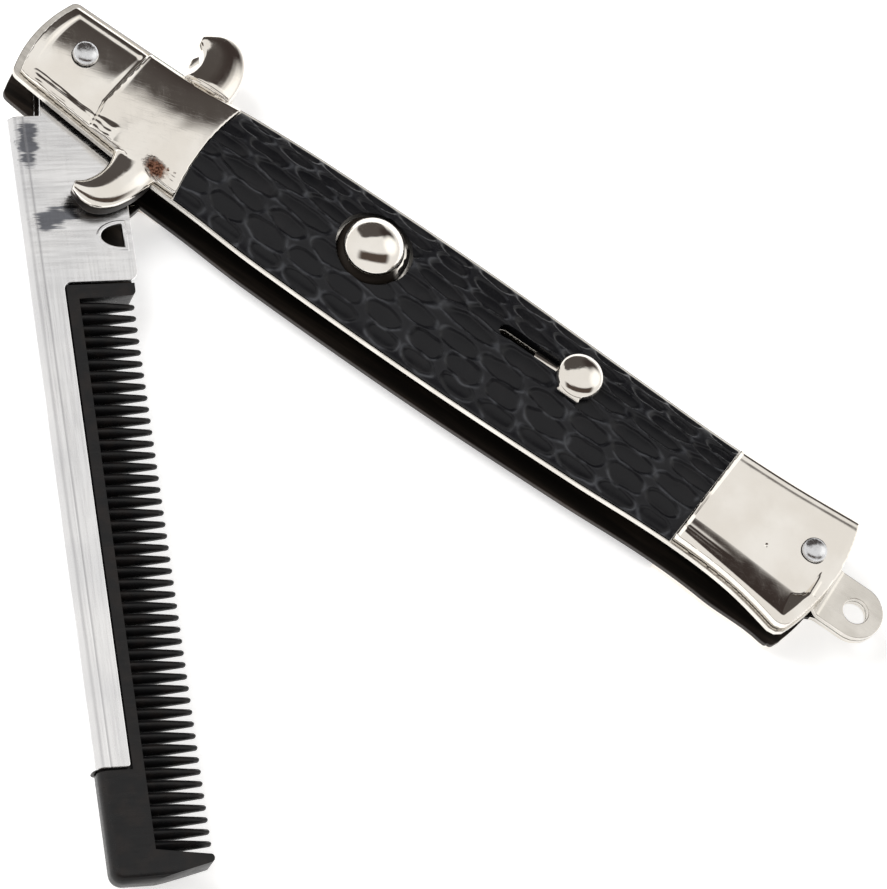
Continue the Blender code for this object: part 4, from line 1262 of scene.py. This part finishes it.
def brushed_aluminium():
    """Brushed along the strip and across the tang, with painted reflections in dark patches on the tang and
    painted shade lines by the fold.
    """
    finish = Finish("brushed_aluminium", Metallic=1.0)
    turn = -math.radians(OPEN_ANGLE)
    brush = finish.grain(3600, finish.turned((0.035, 1, 1), turn), 4.0, 0.6)
    cross = finish.grain(2600, finish.turned((1, 0.05, 1), turn), 3.0, 0.6)
    cloud = finish.grain(130, detail=3.0)
    near_tang = finish.between(finish.distance(on_comb(12, -4, 0)), 0.012, 0.026, 1.0, 0.0)
    marks = brush * (1 - 0.8 * near_tang) + cross * (0.8 * near_tang)
    bright = finish.mix(finish.between(cloud, 0.3, 0.75), (0.82, 0.825, 0.84), (0.92, 0.92, 0.925))

    def patch(along, across, reach, feather):
        apart = finish.distance(on_comb(along, across, HOLDER_THICK / 2)) + feather * MM * cross
        middle = reach + feather / 2
        return finish.between(apart, (middle - 0.4) * MM, (middle + 0.5) * MM, 1.0, 0.0)

    shaded = sum(patch(*spot) for spot in (
        (9.3, -8.3, 1.2, 2.4), (11.2, -8.5, 1.3, 2.6), (13.2, -8.7, 0.9, 2.6),
        (22.3, -7.6, 1.2, 2.8), (21.6, -6.0, 1.3, 2.8), (20.9, -4.2, 1.2, 2.8),
    ))
    shaded = finish.node("ShaderNodeMath", {"operation": "MINIMUM"}, {0: shaded, 1: 0.85})
    pivot, square_to_comb = tuple(on_comb(0, 0, 0)), (math.sin(-turn), math.cos(turn), 0)
    side = finish.node("ShaderNodeVectorMath", {"operation": "SUBTRACT"}, {0: finish.place, 1: pivot})
    across = finish.node(
        "ShaderNodeVectorMath", {"operation": "DOT_PRODUCT"}, {0: side, 1: square_to_comb}, "Value",
    )

    def line(place, reach):
        apart = finish.node("ShaderNodeMath", {"operation": "ABSOLUTE"}, {0: across - place * MM})
        return finish.between(apart, 0.0, reach * MM, 1.0, 0.0)

    # The lines by the fold are grey painted shade with a slight bump, and the tang's dark bluish patches are
    # painted reflections.
    folds = 0.55 * line(-8.7, 0.3) + 0.35 * line(-9.7, 0.35)
    painted_dark_mix = finish.mix(shaded, bright, (0.05, 0.057, 0.08))
    finish.feed("Base Color", finish.mix(folds, painted_dark_mix, (0.32, 0.32, 0.34)))
    finish.feed("Roughness", 0.13 + 0.16 * finish.between(marks, 0.35, 0.7))
    finish.feed("Normal", finish.relief(marks, 0.008, 0.8, finish.relief(folds, -0.1)))
    return finish.material


def rivet_aluminium():
    finish = Finish("rivet_aluminium", Metallic=1.0, Base_Color=(0.74, 0.75, 0.77, 1.0))
    grain = finish.grain(1900, detail=4.0, roughness=0.6)
    finish.feed("Roughness", 0.18 + 0.2 * finish.between(grain, 0.4, 0.7))
    finish.feed("Normal", finish.relief(grain, 0.04, 0.7))
    return finish.material


def scale_plastic():
    finish = Finish("scale_plastic", Specular_IOR_Level=0.26)
    depth = finish.node("ShaderNodeAttribute", {"attribute_name": "relief"}, output="Fac")
    grain = finish.grain(5200, detail=3.0, roughness=0.6)
    cloud = finish.grain(300, detail=4.0)
    # The flats are a little paler and glossier than the dimples' floors.
    pale_lift = finish.between(depth, -0.05, 0.05)
    dusty = finish.between(depth, -0.3, -0.1, 1.0, 0.0) * finish.between(cloud, 0.45, 0.7)
    dark = finish.mix(pale_lift, (0.0045, 0.0047, 0.006), (0.009, 0.0092, 0.0112))
    # Painted highlight: the rims' lower sides and ends are made paler, broken up by noise.
    rim = finish.node("ShaderNodeAttribute", {"attribute_name": "painted_rim_highlight"}, output="Fac")
    highlight_breakup = finish.between(finish.grain(420, detail=2.0), 0.42, 0.62)
    edged = finish.mix(rim * highlight_breakup, dark, (0.05, 0.052, 0.058))
    finish.feed("Base Color", finish.mix(0.3 * dusty, edged, (0.02, 0.019, 0.02)))
    finish.feed("Roughness", 0.3 + 0.1 * finish.between(cloud, 0.35, 0.7) - 0.05 * pale_lift)
    finish.feed("Normal", finish.relief(grain, 0.012, 0.6))
    return finish.material


def comb_plastic():
    finish = Finish("comb_plastic", Specular_IOR_Level=0.3)
    turn = -math.radians(OPEN_ANGLE)
    clouded = finish.between(finish.grain(420, detail=4.0), 0.4, 0.7)
    drag = finish.grain(2600, finish.turned((1, 0.12, 1), turn), 3.0, 0.6)
    finish.feed("Base Color", finish.mix(clouded, (0.0065, 0.0066, 0.0072), (0.012, 0.0098, 0.0092)))
    finish.feed("Roughness", 0.27 + 0.12 * finish.between(drag, 0.35, 0.7))
    finish.feed("Normal", finish.relief(drag, 0.02, 0.6))
    return finish.material


def floor_paint():
    return Finish(
        "pale_floor", Roughness=0.9, Base_Color=(0.78, 0.78, 0.78, 1.0), Specular_IOR_Level=0.1,
        Emission_Color=(1.0, 1.0, 1.0, 1.0), Emission_Strength=0.5,
    ).material


# Studio

# A card fades out between its inner and outer angles from its middle. A narrow one also fades sideways.
Card = namedtuple("Card", "direction inner outer shade beside narrow", defaults=(None, 0))
CARDS = (
    Card((-0.477, 0.743, 0.469), 31, 37, (0.085, 0.075, 0.07)),
    Card((-0.62, 0.42, 0.66), 14, 20, (0.085, 0.075, 0.07)),
    Card((0.16, 0.87, 0.46), 8, 27, (0.045, 0.035, 0.032)),
    Card((0.335, -0.49, 0.805), 38, 58, (0.08, 0.06, 0.05), (-0.38, 0.70, 0.60), 14),
    Card((0.57, 0.59, 0.57), 12, 30, (1.3, 1.28, 1.24)),
)


def card_edge(room, place, card):
    """1 on the card, 0 off it, and smooth between."""

    def facing(direction, low, high):
        both = {0: place, 1: Vector(direction).normalized()}
        toward = room.node("ShaderNodeVectorMath", {"operation": "DOT_PRODUCT"}, both, "Value")
        return room.between(toward, low, high)

    edge = facing(card.direction, math.cos(math.radians(card.outer)), math.cos(math.radians(card.inner)))
    if card.beside:
        near, far = (math.sin(math.radians(card.narrow + fade)) for fade in (-4, 4))
        edge = edge * facing(card.beside, -far, -near) * facing(card.beside, far, near)
    return edge


def light_room():
    """A white room with cards that bright metal mirrors, and that don't show behind the object."""
    world = bpy.data.worlds.new("studio")
    bpy.context.scene.world = world
    world.use_nodes = True
    room = Nodes(world.node_tree)
    background, output = (room.tree.nodes[name] for name in ("Background", "World Output"))
    place = room.node("ShaderNodeTexCoord", output="Generated")
    shade = (0.90, 0.885, 0.865)
    for card in CARDS:
        shade = room.mix(card_edge(room, place, card), shade, card.shade)
    room.tree.links.new(shade.socket, background.inputs["Color"])
    mirrored = Amount(room, background.outputs["Background"])
    plain = room.node("ShaderNodeBackground", None, {"Color": (1.0, 1.0, 1.0, 1.0)})
    seen = room.node("ShaderNodeLightPath", output="Is Camera Ray")
    choice = room.node("ShaderNodeMixShader", None, {"Fac": seen, 1: mirrored, 2: plain})
    room.tree.links.new(choice.socket, output.inputs["Surface"])


def lay_floor():
    bm = bmesh.new()
    bmesh.ops.create_grid(bm, x_segments=1, y_segments=1, size=1.5)
    bmesh.ops.translate(bm, verts=bm.verts, vec=(0, 0, -0.00005))
    floor = put("floor", bm)
    floor.data.materials.append(floor_paint())


def add_softbox(name, place, size, watts):
    data = bpy.data.lights.new(name, "AREA")
    data.shape = "RECTANGLE"
    data.size, data.size_y = size
    data.energy = watts
    light = bpy.data.objects.new(name, data)
    bpy.context.scene.collection.objects.link(light)
    light.visible_glossy = False
    light.location = place
    light.rotation_euler = (-Vector(place)).to_track_quat("-Z", "Y").to_euler()


def set_camera():
    level_up = Vector((0, math.cos(TILT), math.sin(TILT)))
    towards = Vector((0, -math.sin(TILT), math.cos(TILT)))
    level_right = Vector((1, 0, 0))
    right = ROLL_COS * level_right + ROLL_SIN * level_up
    up = -ROLL_SIN * level_right + ROLL_COS * level_up
    data = bpy.data.cameras.new("photo_camera")
    data.sensor_fit = "AUTO"
    data.sensor_width = 36
    data.lens = 36 * FOCAL_PIXELS / LONG_SIDE_PIXELS
    data.clip_start = 0.01
    camera = bpy.data.objects.new("photo_camera", data)
    bpy.context.scene.collection.objects.link(camera)
    turn = Matrix((right, up, towards)).transposed().to_4x4()
    place = Vector((AIM_X * MM, AIM_Y * MM, 0)) + towards * CAMERA_DISTANCE * MM
    camera.matrix_world = Matrix.Translation(place) @ turn
    bpy.context.scene.camera = camera


def main():
    nickel = bright_nickel().material
    head = head_nickel()
    steel = liner_steel()
    channel = painted_shade_steel()
    rivets = rivet_aluminium()
    black = scale_plastic()
    for side in (FRONT, BACK):
        make_liner(side, steel, channel)
        make_head_bolster(side, head, channel)
        make_tail_bolster(side, nickel)
        make_scale(side, black)
    make_spine_strip(channel)
    make_rivet("pivot_rivet", 0, rivets)
    make_rivet("tail_rivet", RIVET_SPACING, rivets)
    make_button(button_nickel())
    make_slider(nickel)
    make_holder(brushed_aluminium(), channel)
    make_comb(comb_plastic())

    light_room()
    lay_floor()
    add_softbox("side_softbox", (-0.55, -0.10, 0.75), (0.5, 0.5), 6.0)
    set_camera()
    scene = bpy.context.scene
    scene.view_settings.view_transform = "Standard"
    scene.view_settings.look = "None"


main()
